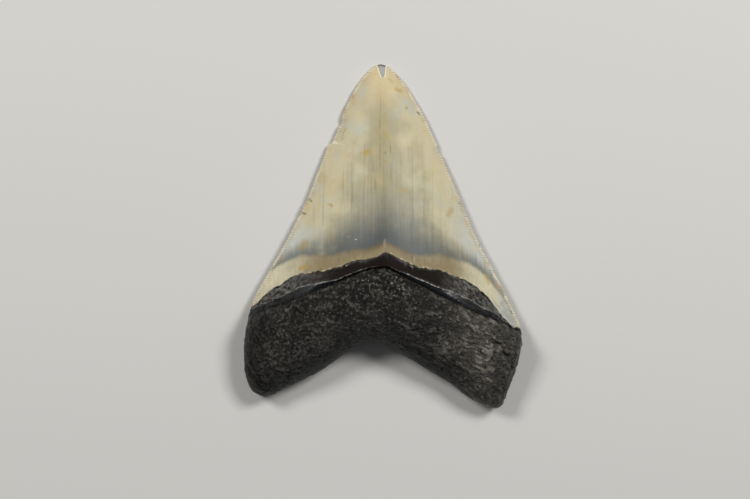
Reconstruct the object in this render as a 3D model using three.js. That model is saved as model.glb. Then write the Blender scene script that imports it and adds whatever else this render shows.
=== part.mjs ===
// A fossil megalodon tooth, about 106 mm from root to tip, lying on its flat outer (labial) face.
// The tooth grew as one piece, so it is one closed mesh: an enamel crown, the dark neck band under
// it (the bourlette) and a forked root.
//
// Frame: millimetres. +Z is up, out of the domed inner (lingual) face; +Y points to the crown's tip;
// +X is across the tooth. The origin is under the middle of the bounding box, on the resting plane.
//
// The solid is two sheets over one outline. Both are functions of the same (u, v): u runs across from
// the left cutting edge to the right one, v runs from the tip to the root's lower edge.

import * as THREE from 'three';
import { ParametricGeometry } from 'three/addons/geometries/ParametricGeometry.js';
import { mergeGeometries, mergeVertices } from 'three/addons/utils/BufferGeometryUtils.js';

// ---- Crown, mm ----

const CROWN_RISE = 0.37;          // the crown's dome over its edges, as a share of its half width
const CROWN_BELLY = 0.10;         // its flat face's fall below its edges, as a share of its half width
const TIP_EDGE_HEIGHT = 0.8;      // the cutting edges above the resting plane where the crown ends
const EDGE_CLIMB = 0.07;          // and how much they rise from there, as a share of its half width
const EDGE_ROUND = 1.3;           // how far in from the outline a worn cutting edge is rounded

// ---- Root, mm ----

const THICKEST = 21.5;            // over the swelling in the middle of the root
const SHOULDER_THICK = 16.5;      // upper root, away from the swelling
const LOBE_THICK = 12.0;          // near the lobes' ends
const SHOULDER_Y = -24;           // the root thins out from here
const LOBE_Y = -50;               // to here
const RIM_HEIGHT = 5.4;           // the root's widest outline above the resting plane
const ARCH_RIM_HEIGHT = 7.6;      // the same, under the arch between the lobes
const ROOT_ROUND_TOP = 11.0;      // how far in from its outline the root's upper face is rounded
const ROOT_ROUND_UNDER = 5.0;     // and its resting face
const ROOT_BEGINS = 2.5;          // the crown starts to swell into the root this far above the enamel's end
const ROOT_FULL = 4;              // and is all root this far below the groove
const HOLLOW_DEPTH = 0.9;         // the shallow hollow under the middle of the root
const FLAT_BELOW = 0.05;          // anything shallower than this in the hollow is part of the flat rest

const SWELLING = { x: 0, y: -17, wide: 21, long: 13 };
const ARCH = { x: -1, y: -36, wide: 17, long: 30 };
const HOLLOW = { x: -1, y: -26, wide: 12, long: 8 };

// ---- Neck band, mm from the groove under it ----

const NECK_STEP = 0.7;            // the band's lower edge stands this far over the root
const STEP_FOOT = 1.4;            // the step's foot, below the groove
const STEP_TOP = 0.9;             // its top, above the groove
const BAND_FULL = 1;              // the band is at its full height here
const BAND_END = 9;               // and has run out into the crown here
const GROOVE_SINK = 0.2;          // the root's face beside the band is this much lower than the crown's
const NECK_ROUND = 6;             // how far in from the outline the band reaches its full height

// ---- Outlines, mm: [x, y] seen from above ----

const LEFT_EDGE = [
  [-2.9, 52.5], [-7.5, 47.1], [-13.4, 35.9], [-18.8, 22.9], [-23.2, 11.8], [-28.7, 0.6], [-34.5, -9.9],
  [-39.9, -19.8], [-42.4, -30.4], [-42.6, -41.5], [-40.2, -47.6],
];
const RIGHT_EDGE = [
  [1.5, 52.5], [6.6, 47.1], [13.1, 36.0], [19.6, 21.1], [23.6, 11.8], [28.3, 0.6], [34.8, -12.1],
  [38.8, -20.1], [42.2, -27.6], [42.6, -34.8], [40.1, -43.5], [37.2, -51.2],
];
const TIP_EDGE = [[-2.9, 52.5], [-0.6, 53.1], [1.5, 52.5]];
const ROOT_EDGE = [
  [-40.2, -47.6], [-36.5, -49.6], [-30.8, -47.3], [-20.5, -42.3], [-12.3, -36.9], [-5.8, -33.5],
  [-2.7, -33.1], [0.3, -33.4], [5.8, -36.3], [13.4, -41.1], [20.5, -45.3], [26.8, -50.1], [33.5, -53.0],
  [35.7, -52.7], [37.2, -51.2],
];

// ---- Lines across the lingual face, mm, as [x, y] from left to right ----

const ENAMEL_LINE = [                       // where the crown's enamel ends
  [-43, -23.4], [-36.4, -18.4], [-29.1, -13.3], [-21.7, -10.9], [-15.9, -10.3], [-8.6, -7.4], [0.5, -5.0],
  [8.2, -8.5], [17.0, -10.2], [25.8, -14.0], [31.6, -17.7], [36.0, -23.5], [43, -28.4],
];
const GROOVE_LINE = [                       // where the root starts, under the neck band
  [-43, -25.2], [-29.1, -20.2], [-14.4, -14.1], [-7.1, -11.0], [0.2, -9.4], [6.3, -12.3], [20.5, -19.7],
  [27.6, -22.9], [43, -29.4],
];

// ---- Resolution ----

const ACROSS = 44;
const ALONG = 50;
const OUTLINE_STEPS = 60;                   // straight steps that stand for each edge in distances
const ARC_DIVISIONS = 400;                  // steps in which each edge's length is measured
const DISTANCE_BLEND = 4;                   // the power that blends the distances to the four edges
const CROWDED_ACROSS = 0.7;                 // how much closer the columns lie along the outline, 0 to 1
const CROWDED_ALONG = 0.45;                 // and the rows at the root's lower edge
const WELD = 1e-4;                          // points closer than this are one

// ---- Helpers ----

const mix = (a, b, t) => a + (b - a) * t;
const square = (t) => t * t;

/** 0 below low, 1 above high, and smooth between them, either way round. */
function ramp(value, low, high) {
  const t = THREE.MathUtils.clamp((value - low) / (high - low), 0, 1);
  return t * t * (3 - 2 * t);
}

/** A quarter-round profile: 0 at the outline, 1 from reach inwards. */
function rounded(distance, reach) {
  return Math.sqrt(1 - square(1 - Math.min(distance / reach, 1)));
}

/** A smooth bump of height 1 at its own place, with its own width and length. */
function bumpAt(x, y, bump) {
  return Math.exp(-square((x - bump.x) / bump.wide) - square((y - bump.y) / bump.long));
}

const curveThrough = (points) => new THREE.SplineCurve(points.map(([x, y]) => new THREE.Vector2(x, y)));

/** The height of a line across the face at x, which lies between the line's ends. */
function lineAt(line, x) {
  const next = line.findIndex((point) => point[0] > x);
  const [x0, y0] = line[next - 1];
  const [x1, y1] = line[next];
  return mix(y0, y1, (x - x0) / (x1 - x0));
}

// ---- Plan view ----

const leftEdge = curveThrough(LEFT_EDGE);
const rightEdge = curveThrough(RIGHT_EDGE);
const tipEdge = curveThrough(TIP_EDGE);
const rootEdge = curveThrough(ROOT_EDGE);
const edges = [leftEdge, rightEdge, tipEdge, rootEdge];
for (const edge of edges) edge.arcLengthDivisions = ARC_DIVISIONS;

const outline = edges.map((edge) => edge.getSpacedPoints(OUTLINE_STEPS));

/** How far (x, y) is from one edge of the outline. */
function distanceTo(edge, x, y) {
  let nearest = Infinity;
  for (let i = 0; i < OUTLINE_STEPS; i++) {
    const a = edge[i];
    const b = edge[i + 1];
    const dx = b.x - a.x;
    const dy = b.y - a.y;
    const t = THREE.MathUtils.clamp(((x - a.x) * dx + (y - a.y) * dy) / (dx * dx + dy * dy), 0, 1);
    nearest = Math.min(nearest, Math.hypot(x - a.x - t * dx, y - a.y - t * dy));
  }
  return nearest;
}

/** How far (x, y) is from the outline, blended where two edges are equally near, so that it has no crease. */
function distanceIn(x, y) {
  const total = outline.reduce((sum, edge) => sum + distanceTo(edge, x, y) ** -DISTANCE_BLEND, 0);
  return total ** (-1 / DISTANCE_BLEND);
}

/** The point at (u, v) in plan: the four edges blended across the middle. */
function planPoint(u, v) {
  const left = leftEdge.getPointAt(v);
  const right = rightEdge.getPointAt(v);
  const tip = tipEdge.getPointAt(u);
  const root = rootEdge.getPointAt(u);
  const blend = (k) =>
    mix(left[k], right[k], u) + mix(tip[k], root[k], v)
    - mix(mix(tipEdge.points[0][k], tipEdge.points.at(-1)[k], u),
      mix(rootEdge.points[0][k], rootEdge.points.at(-1)[k], u), v);
  return { x: blend('x'), y: blend('y') };
}

// ---- Heights ----

/** Rows and columns are closest together along the outline, where the surface turns fastest. */
const spacedAcross = (u) => mix(u, (1 - Math.cos(Math.PI * u)) / 2, CROWDED_ACROSS);
const spacedAlong = (v) => mix(v, Math.sin(Math.PI * v / 2), CROWDED_ALONG);

/** Everything that both faces need at (u, v). */
function place(uStep, vStep) {
  const u = spacedAcross(uStep);
  const v = spacedAlong(vStep);
  const { x, y } = planPoint(u, v);
  const onOutline = uStep === 0 || uStep === 1 || vStep === 0 || vStep === 1;
  const inside = onOutline ? 0 : distanceIn(x, y);
  const middle = 1 - square(2 * u - 1);
  const halfWidth = (rightEdge.getPointAt(v).x - leftEdge.getPointAt(v).x) / 2;
  const groove = lineAt(GROOVE_LINE, x);
  const crownEdge = TIP_EDGE_HEIGHT + EDGE_CLIMB * halfWidth;
  const rootRim = mix(RIM_HEIGHT, ARCH_RIM_HEIGHT, bumpAt(x, y, ARCH));
  const isRoot = ramp(y, lineAt(ENAMEL_LINE, x) + ROOT_BEGINS, groove - ROOT_FULL);
  const rim = mix(crownEdge, rootRim, isRoot);
  return { x, y, inside, middle, halfWidth, groove, isRoot, crownEdge, rootRim, rim };
}

/** How thick the root is away from its rounded outline. */
function rootThickness(x, y) {
  const body = mix(SHOULDER_THICK, LOBE_THICK, ramp(y, SHOULDER_Y, LOBE_Y));
  return body + (THICKEST - SHOULDER_THICK) * bumpAt(x, y, SWELLING);
}

/** How far the neck band stands over the root, 0 to NECK_STEP. */
function neckBand(y, groove) {
  const step = ramp(y, groove - STEP_FOOT, groove + STEP_TOP);
  const runOut = ramp(y, groove + BAND_END, groove + BAND_FULL);
  return NECK_STEP * step * runOut;
}

/** The domed face, which shows. */
function lingualFace(uStep, vStep, target) {
  const p = place(1 - uStep, vStep);
  const dome = p.middle * rounded(p.inside, EDGE_ROUND);
  const crown = p.crownEdge + CROWN_RISE * p.halfWidth * dome;
  const root = p.rootRim + (rootThickness(p.x, p.y) - p.rootRim) * rounded(p.inside, ROOT_ROUND_TOP);
  const relief = (neckBand(p.y, p.groove) - GROOVE_SINK * p.isRoot) * rounded(p.inside, NECK_ROUND);
  target.set(p.x, p.y, p.inside === 0 ? p.rim : mix(crown, root, p.isRoot) + relief);
}

/** The flat face, which the tooth rests on. */
function labialFace(uStep, vStep, target) {
  const p = place(uStep, vStep);
  const belly = p.middle * rounded(p.inside, EDGE_ROUND);
  const crown = p.crownEdge - CROWN_BELLY * p.halfWidth * belly;
  const hollow = Math.max(0, HOLLOW_DEPTH * bumpAt(p.x, p.y, HOLLOW) - FLAT_BELOW);
  const root = mix(p.rootRim, hollow, rounded(p.inside, ROOT_ROUND_UNDER));
  target.set(p.x, p.y, p.inside === 0 ? p.rim : Math.max(0, mix(crown, root, p.isRoot)));
}

// ---- The solid ----

/** One closed geometry from the two faces, centred over the origin and resting on z = 0. */
function toothGeometry() {
  const faces = [lingualFace, labialFace].map((face) => {
    const sheet = new ParametricGeometry(face, ACROSS, ALONG);
    sheet.deleteAttribute('normal');
    sheet.deleteAttribute('uv');
    return sheet;
  });
  const solid = mergeVertices(mergeGeometries(faces), WELD);
  solid.computeBoundingBox();
  const middle = solid.boundingBox.getCenter(new THREE.Vector3());
  solid.translate(-middle.x, -middle.y, -solid.boundingBox.min.z);
  solid.computeVertexNormals();
  return solid;
}

const fossil = new THREE.MeshStandardMaterial({ color: 0xb3aa8f, roughness: 0.5, metalness: 0 });

const tooth = new THREE.Mesh(toothGeometry(), fossil);
tooth.name = 'tooth';

const part = new THREE.Group();
part.add(tooth);

export default part;
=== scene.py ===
"""The looks of a fossil megalodon tooth that lies on its flat outer face.

Sizes are millimetres, and become metres where a mesh or a node needs them. +Z is up, out of the domed
inner (lingual) face, +Y points to the crown's tip and +X is across the tooth. Shades are sRGB hex.
"""

import logging
import math
from dataclasses import dataclass, field
from enum import Enum

import bpy
import numpy as np
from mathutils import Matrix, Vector


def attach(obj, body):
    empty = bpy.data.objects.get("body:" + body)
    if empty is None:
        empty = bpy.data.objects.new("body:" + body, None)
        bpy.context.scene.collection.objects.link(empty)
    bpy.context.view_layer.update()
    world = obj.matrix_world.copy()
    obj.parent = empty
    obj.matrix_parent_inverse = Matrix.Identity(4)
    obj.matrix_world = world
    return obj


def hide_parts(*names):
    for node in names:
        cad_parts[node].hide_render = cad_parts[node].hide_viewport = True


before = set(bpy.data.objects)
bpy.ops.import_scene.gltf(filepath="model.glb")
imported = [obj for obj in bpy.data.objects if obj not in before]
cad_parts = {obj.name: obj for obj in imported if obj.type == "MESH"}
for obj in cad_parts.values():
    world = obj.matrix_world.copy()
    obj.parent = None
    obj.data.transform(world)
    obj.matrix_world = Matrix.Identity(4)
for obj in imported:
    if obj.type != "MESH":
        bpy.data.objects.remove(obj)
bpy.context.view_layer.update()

log = logging.getLogger("tooth")

MM = 0.001
NODE = "tooth"
BODY = "root"

NOISE_MIDDLE = 0.5
CREASE_TURN = 0.42  # radians that the root's creases are turned from +X
CREASE_SQUASH = 0.5  # how much slower they change along their run

Points = tuple[tuple[float, float], ...]
Span = tuple[float, float]
Grid = np.ndarray
Socket = bpy.types.NodeSocket


class Face(Enum):
    """The tooth's two faces."""

    LINGUAL = "lingual"  # domed, on the tongue's side, and uppermost here
    LABIAL = "labial"  # flat, on the lip's side, and resting on the floor


# ---- Shared shape functions ----


def ramp(value: Grid, low: Grid | float, high: Grid | float) -> Grid:
    """A smooth step from 0 at low to 1 at high, either way round."""
    share = np.clip((value - low) / (high - low), 0, 1)
    return share * share * (3 - 2 * share)


def mix(a: Grid | float, b: Grid | float, share: Grid | float) -> Grid:
    """a where share is 0, b where it is 1."""
    return a + (b - a) * share


def rounded(distance: Grid, reach: float) -> Grid:
    """Quarter-round profile: 0 at distance 0, 1 from reach on."""
    return np.sqrt(1 - (1 - np.minimum(distance / reach, 1)) ** 2)


def ridge(distance: Grid, width: float) -> Grid:
    """A bell of height 1 along a line, this wide on either side."""
    return np.exp(-((distance / width) ** 2))


def line_at(line: Points, x: Grid) -> Grid:
    """The y of a line across the face at each x."""
    xs, ys = zip(*line)
    return np.interp(x, xs, ys)


@dataclass(frozen=True)
class Fade:
    """A smooth change from 0 at its start to 1 where it is full, either way round."""

    start: float
    full: float

    def at(self, value: Grid) -> Grid:
        """The share at each value."""
        return ramp(value, self.start, self.full)


@dataclass(frozen=True)
class Zigzag:
    """A random broken line, for edges that chipped or wore unevenly."""

    pitch: float
    height: float
    seed: int
    jitter: float = 0.4  # how far a corner strays, as a share of the pitch

    def at(self, x: Grid) -> Grid:
        """How far the line is to either side at each x.

        Args:
            x: Where along the line.

        Returns:
            The offset at each x.
        """
        rng = np.random.default_rng(self.seed)
        knots = np.arange(x.min() - self.pitch, x.max() + 2 * self.pitch, self.pitch)
        places = knots + rng.uniform(-self.jitter, self.jitter, len(knots)) * self.pitch
        return np.interp(x, places, rng.uniform(-self.height, self.height, len(knots)))


@dataclass(frozen=True)
class Pattern:
    """A seeded noise pattern of a size in millimetres, with finer layers in it."""

    size: float
    detail: float = 2.0
    rough: float = 0.5
    seed: float = 0.0


@dataclass(frozen=True)
class Drift:
    """Noise of a size in millimetres that moves a measure by up to an amount either way."""

    size: float
    amount: float
    seed: float

    def pattern(self) -> Pattern:
        """Its noise."""
        return Pattern(self.size, seed=self.seed)


FACE_SPLIT = Fade(0.4, 0.6)  # of is_lingual, which is 1 on the lingual face and 0 on the labial one
FACE_MIDDLE = 0.5


@dataclass(frozen=True)
class Bump:
    """A smooth swelling or hollow, seen from above."""

    x: float
    y: float
    wide: float
    long: float

    def at(self, x: Grid, y: Grid) -> Grid:
        """Its share of its full height at each point."""
        return np.exp(-(((x - self.x) / self.wide) ** 2) - ((y - self.y) / self.long) ** 2)


@dataclass(frozen=True)
class Edge:
    """A smooth curve through its points, measured along its length."""

    points: Points
    steps: int = 60
    divisions: int = 4000

    def spaced(self, share: Grid) -> Grid:
        """Points at shares of the curve's length.

        Args:
            share: Shares from 0 to 1.

        Returns:
            One row of x, y for each share.
        """
        at = self._spline(np.linspace(0, 1, self.divisions))
        length = np.concatenate([[0], np.cumsum(np.hypot(*np.diff(at, axis=0).T))])
        where = np.interp(share, length / length[-1], np.linspace(0, 1, self.divisions))
        return self._spline(where)

    def distance(self, x: Grid, y: Grid) -> Grid:
        """How far each point is from the curve, taken as straight steps.

        Args:
            x: Places across.
            y: Places along.

        Returns:
            Distances.
        """
        at = self.spaced(np.linspace(0, 1, self.steps + 1))
        nearest = np.full(x.shape, np.inf)
        for (ax, ay), (bx, by) in zip(at[:-1], at[1:]):
            dx, dy = bx - ax, by - ay
            t = np.clip(((x - ax) * dx + (y - ay) * dy) / (dx * dx + dy * dy), 0, 1)
            nearest = np.minimum(nearest, np.hypot(x - ax - t * dx, y - ay - t * dy))
        return nearest

    def _spline(self, share: Grid) -> Grid:
        """Catmull-Rom spline at shares of its parameter.

        Args:
            share: Shares from 0 to 1.

        Returns:
            One row of x, y for each share.
        """
        p = np.array(self.points, float)
        last = len(p) - 1
        i = np.minimum((share * last).astype(int), last - 1)
        t = (share * last - i)[:, None]
        before, a, b, after = p[np.maximum(i - 1, 0)], p[i], p[i + 1], p[np.minimum(i + 2, last)]
        leave, arrive = (b - before) / 2, (after - a) / 2
        cubic, square = 2 * a - 2 * b + leave + arrive, 3 * b - 3 * a - 2 * leave - arrive
        return cubic * t**3 + square * t**2 + leave * t + a


# ---- The tooth's shape ----


@dataclass(frozen=True)
class Outline:
    """The tooth seen from above: four edges with a blended sheet of places between them."""

    left: Edge = Edge(
        (
            (-2.9, 52.5), (-7.5, 47.1), (-13.4, 35.9), (-18.8, 22.9), (-23.2, 11.8), (-28.7, 0.6),
            (-34.5, -9.9), (-39.9, -19.8), (-42.4, -30.4), (-42.6, -41.5), (-40.2, -47.6),
        )
    )  # fmt: skip
    right: Edge = Edge(
        (
            (1.5, 52.5), (6.6, 47.1), (13.1, 36.0), (19.6, 21.1), (23.6, 11.8), (28.3, 0.6),
            (34.8, -12.1), (38.8, -20.1), (42.2, -27.6), (42.6, -34.8), (40.1, -43.5), (37.2, -51.2),
        )
    )  # fmt: skip
    tip: Edge = Edge(((-2.9, 52.5), (-0.6, 53.1), (1.5, 52.5)))
    root: Edge = Edge(
        (
            (-40.2, -47.6), (-36.5, -49.6), (-30.8, -47.3), (-20.5, -42.3), (-12.3, -36.9), (-5.8, -33.5),
            (-2.7, -33.1), (0.3, -33.4), (5.8, -36.3), (13.4, -41.1), (20.5, -45.3), (26.8, -50.1),
            (33.5, -53.0), (35.7, -52.7), (37.2, -51.2),
        )
    )  # fmt: skip
    distance_blend: float = 4.0

    def sheet(self, u: Grid, v: Grid) -> tuple[Grid, Grid]:
        """Places between the edges.

        Args:
            u: Shares across, from the left edge to the right one.
            v: Shares along, from the tip to the root's lower edge.

        Returns:
            The x and the y of each row v and column u.
        """
        left, right = self.left.spaced(v), self.right.spaced(v)
        tip, root = self.tip.spaced(u), self.root.spaced(u)
        across, along = u[None, :, None], v[:, None, None]
        corners = mix(mix(tip[0], tip[-1], across), mix(root[0], root[-1], across), along)
        places = mix(left[:, None], right[:, None], across) + mix(tip[None], root[None], along) - corners
        return places[..., 0], places[..., 1]

    def half_width(self, v: Grid) -> Grid:
        """Half the tooth's width at shares along it."""
        return (self.right.spaced(v)[:, 0] - self.left.spaced(v)[:, 0]) / 2

    def depth_in(self, x: Grid, y: Grid) -> Grid:
        """How far each point is from the outline, with no crease where two edges are equally near.

        Args:
            x: Places across.
            y: Places along.

        Returns:
            Distances.
        """
        power = self.distance_blend
        edges = (self.left, self.right, self.tip, self.root)
        with np.errstate(divide="ignore"):
            return sum(edge.distance(x, y) ** -power for edge in edges) ** (-1 / power)


@dataclass(frozen=True)
class Crown:
    """The enamel crown: domed on the lingual face, nearly flat on the labial one."""

    rise: float = 0.37
    belly: float = 0.10
    tip_edge_height: float = 0.8
    edge_climb: float = 0.07
    edge_round: float = 1.3
    enamel_step: float = 0.32  # how far the enamel stands over what it ends on
    step_run: float = 0.28
    lingual_end: Points = (
        (-43, -23.4), (-41.2, -22.6), (-36.4, -18.4), (-32.7, -15.5), (-29.1, -13.3), (-25.4, -11.5),
        (-21.7, -10.9), (-15.9, -10.35), (-13.7, -9.5), (-8.6, -7.4), (-4.9, -7.1), (-2.7, -6.35),
        (0.5, -5.0), (2.4, -5.8), (5.3, -7.4), (11.2, -9.6), (17.0, -10.2), (19.9, -11.5), (25.8, -14.0),
        (31.6, -17.7), (36.0, -23.5), (39.7, -27.6), (43, -28.4),
    )  # fmt: skip
    labial_end: Points = (
        (-43, -23.4), (-38.0, -23.0), (-28.0, -20.8), (-16.0, -18.2), (-6.0, -16.6), (0.5, -16.2),
        (7.0, -16.9), (18.0, -19.4), (30.0, -23.6), (39.0, -27.4), (43, -28.4),
    )  # fmt: skip
    lingual_breaks: tuple[Zigzag, ...] = (Zigzag(2.3, 0.38, 3), Zigzag(0.8, 0.26, 4))
    labial_breaks: tuple[Zigzag, ...] = (Zigzag(4.1, 0.3, 5), Zigzag(1.1, 0.12, 6))

    def edge_height(self, half_width: Grid) -> Grid:
        """The cutting edges' height over the floor."""
        return self.tip_edge_height + self.edge_climb * half_width

    def end_line(self, face: Face, x: Grid) -> Grid:
        """The uneven lower edge of the enamel on a face.

        Args:
            face: Which face.
            x: Places across.

        Returns:
            The y at each x.
        """
        is_lingual = face is Face.LINGUAL
        breaks = self.lingual_breaks if is_lingual else self.labial_breaks
        line = line_at(self.lingual_end if is_lingual else self.labial_end, x)
        for zigzag in breaks:
            line = line + zigzag.at(x)
        return line

    def height(self, face: Face, half_width: Grid, middle: Grid, inside: Grid) -> Grid:
        """The crown's height over the floor; middle falls from 1 on the axis to 0 at the cutting edges."""
        swell = self.rise if face is Face.LINGUAL else -self.belly
        return self.edge_height(half_width) + swell * half_width * middle * rounded(inside, self.edge_round)


@dataclass(frozen=True)
class Root:
    """The forked root, thickest in its middle."""

    thickest: float = 21.5
    shoulder_thick: float = 16.5
    lobe_thick: float = 12.0
    shoulder_y: float = -24.0
    lobe_y: float = -50.0
    rim_height: float = 5.4
    arch_rim_height: float = 7.6
    round_top: float = 11.0
    round_under: float = 5.0
    begins: float = 2.5
    full: float = 4.0
    hollow_depth: float = 0.9
    flat_below: float = 0.05
    swelling: Bump = Bump(0, -17, 21, 13)
    arch: Bump = Bump(-1, -36, 17, 30)
    hollow: Bump = Bump(-1, -26, 12, 8)

    def rim(self, x: Grid, y: Grid) -> Grid:
        """The height of the root's widest outline."""
        return mix(self.rim_height, self.arch_rim_height, self.arch.at(x, y))

    def height(self, face: Face, x: Grid, y: Grid, inside: Grid) -> Grid:
        """The root's height over the floor on a face.

        Args:
            face: Which face.
            x: Places across.
            y: Places along.
            inside: Distance from the outline.

        Returns:
            Heights.
        """
        rim = self.rim(x, y)
        if face is Face.LINGUAL:
            thick = mix(self.shoulder_thick, self.lobe_thick, ramp(y, self.shoulder_y, self.lobe_y))
            thick = thick + (self.thickest - self.shoulder_thick) * self.swelling.at(x, y)
            return rim + (thick - rim) * rounded(inside, self.round_top)
        hollow = np.maximum(0, self.hollow_depth * self.hollow.at(x, y) - self.flat_below)
        return mix(rim, hollow, rounded(inside, self.round_under))


@dataclass(frozen=True)
class NeckBand:
    """The dark band between enamel and root on the lingual face, with a ridge and a groove at its foot."""

    step: float = 0.7
    ridge_height: float = 0.2
    ridge_width: float = 0.38
    groove_depth: float = 0.42
    groove_width: float = 0.5
    band_full: float = 1.0
    band_end: float = 9.0
    sink: float = 0.2
    reach_in: float = 6.0
    band_foot: float = 0.3
    least_strip: float = 0.35
    groove_under: float = 0.15
    groove_wander: Zigzag = Zigzag(1.7, 0.12, 7)
    ridge_wander: Zigzag = Zigzag(2.1, 0.22, 8)
    ridge_unevenness: Zigzag = Zigzag(0.9, 0.5, 9)
    groove: Points = (
        (-43, -25.2), (-36.4, -22.8), (-29.1, -20.2), (-21.7, -16.9), (-14.4, -14.1), (-7.1, -11.0),
        (-3.5, -9.9), (0.2, -9.45), (3.9, -10.85), (6.3, -12.3), (13.4, -15.8), (20.5, -19.75),
        (27.6, -22.9), (34.7, -25.8), (43, -29.4),
    )  # fmt: skip
    ridge_line: Points = (
        (-43, -23.6), (-36.2, -20.5), (-27.8, -17.0), (-24.4, -15.3), (-20.7, -14.6), (-14.0, -13.3),
        (-10.65, -11.75), (-3.9, -9.7), (0.1, -9.0), (1.3, -8.9), (4.5, -10.5), (9.8, -12.8), (15.1, -14.9),
        (21.2, -16.9), (26.9, -19.75), (29.7, -21.7), (35.1, -24.0), (37.6, -26.5), (43, -29.0),
    )  # fmt: skip

    def groove_at(self, x: Grid) -> Grid:
        """The y of the groove over the root."""
        return line_at(self.groove, x) + self.groove_wander.at(x)

    def ridge_at(self, x: Grid) -> Grid:
        """The y of the ridge over the groove, never below it."""
        wavy = line_at(self.ridge_line, x) + self.ridge_wander.at(x)
        return np.maximum(wavy, self.groove_at(x) + self.least_strip)

    def relief(self, x: Grid, y: Grid, is_root: Grid, inside: Grid) -> Grid:
        """How far the band's surface stands over the plain face.

        Args:
            x: Places across.
            y: Places along.
            is_root: 1 on the root, 0 on the crown.
            inside: Distance from the outline.

        Returns:
            Heights, below 0 in the groove.
        """
        groove, top = self.groove_at(x), self.ridge_at(x)
        rises = ramp(y, groove - self.band_foot, top)
        band = self.step * rises * ramp(y, groove + self.band_end, groove + self.band_full)
        crest = self.ridge_height * (1 + self.ridge_unevenness.at(x)) * ridge(y - top, self.ridge_width)
        cut = self.groove_depth * ridge(y - groove + self.groove_under, self.groove_width)
        return (band + crest - cut - self.sink * is_root) * rounded(inside, self.reach_in)


@dataclass(frozen=True)
class Scar:
    """A short furrow, ridge or crack on the lingual face, from one point to another."""

    start: tuple[float, float]
    end: tuple[float, float]
    width: float
    height: float
    end_share: float = 0.45  # its height at either end, as a share of the middle's
    blunt: float = 0.05  # the share of its length over which an end stays the same

    def relief(self, x: Grid, y: Grid) -> Grid:
        """How far it raises the surface, below 0 for a furrow.

        Args:
            x: Places across.
            y: Places along.

        Returns:
            Heights.
        """
        (ax, ay), (bx, by) = self.start, self.end
        dx, dy = bx - ax, by - ay
        t = np.clip(((x - ax) * dx + (y - ay) * dy) / (dx * dx + dy * dy), 0, 1)
        away = np.hypot(x - ax - t * dx, y - ay - t * dy)
        taper = mix(self.end_share, 1.0, np.sin(math.pi * np.clip(t, self.blunt, 1 - self.blunt)))
        return self.height * ridge(away, self.width) * taper


@dataclass(frozen=True)
class EdgeChip:
    """A stretch of cutting edge that broke away: it narrows the tooth from the top to a sudden step."""

    side: int  # -1 for the left edge, 1 for the right one
    top: float
    step: float
    depth: float
    reach: float = 4.0
    deepest: float = 0.45  # how far down it is fully deep, as a share of its length
    step_under: float = 0.15
    step_over: float = 0.25

    def shift(self, side: Grid, y: Grid, from_edge: Grid) -> Grid:
        """How far each point moves towards the axis.

        Args:
            side: -1 left of the axis, 1 right of it.
            y: Places along.
            from_edge: Distance from the nearer cutting edge.

        Returns:
            Distances.
        """
        sinks = ramp(y, self.top, mix(self.top, self.step, self.deepest))
        ends = ramp(y, self.step - self.step_under, self.step + self.step_over)
        return self.depth * sinks * ends * (side == self.side) * ramp(from_edge, self.reach, 0)


@dataclass(frozen=True)
class TipChip:
    """A wedge that flaked off the tip's lingual face, widest at the very tip."""

    foot_y: float = 49.0
    foot_x: float = 0.0
    foot_half: float = 0.45
    spread: float = 0.23  # how fast it widens towards the tip
    lean: float = -0.1
    depth: float = 0.4
    soft: float = 0.3
    starts: Fade = Fade(-0.1, 0.5)

    def relief(self, x: Grid, y: Grid) -> Grid:
        """How far it sinks the surface, as heights below 0.

        Args:
            x: Places across.
            y: Places along.

        Returns:
            Heights.
        """
        up = y - self.foot_y
        away = np.abs(x - self.foot_x - self.lean * up) - self.foot_half - self.spread * up
        return -self.depth * ramp(away, 0, -self.soft) * self.starts.at(up)


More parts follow.
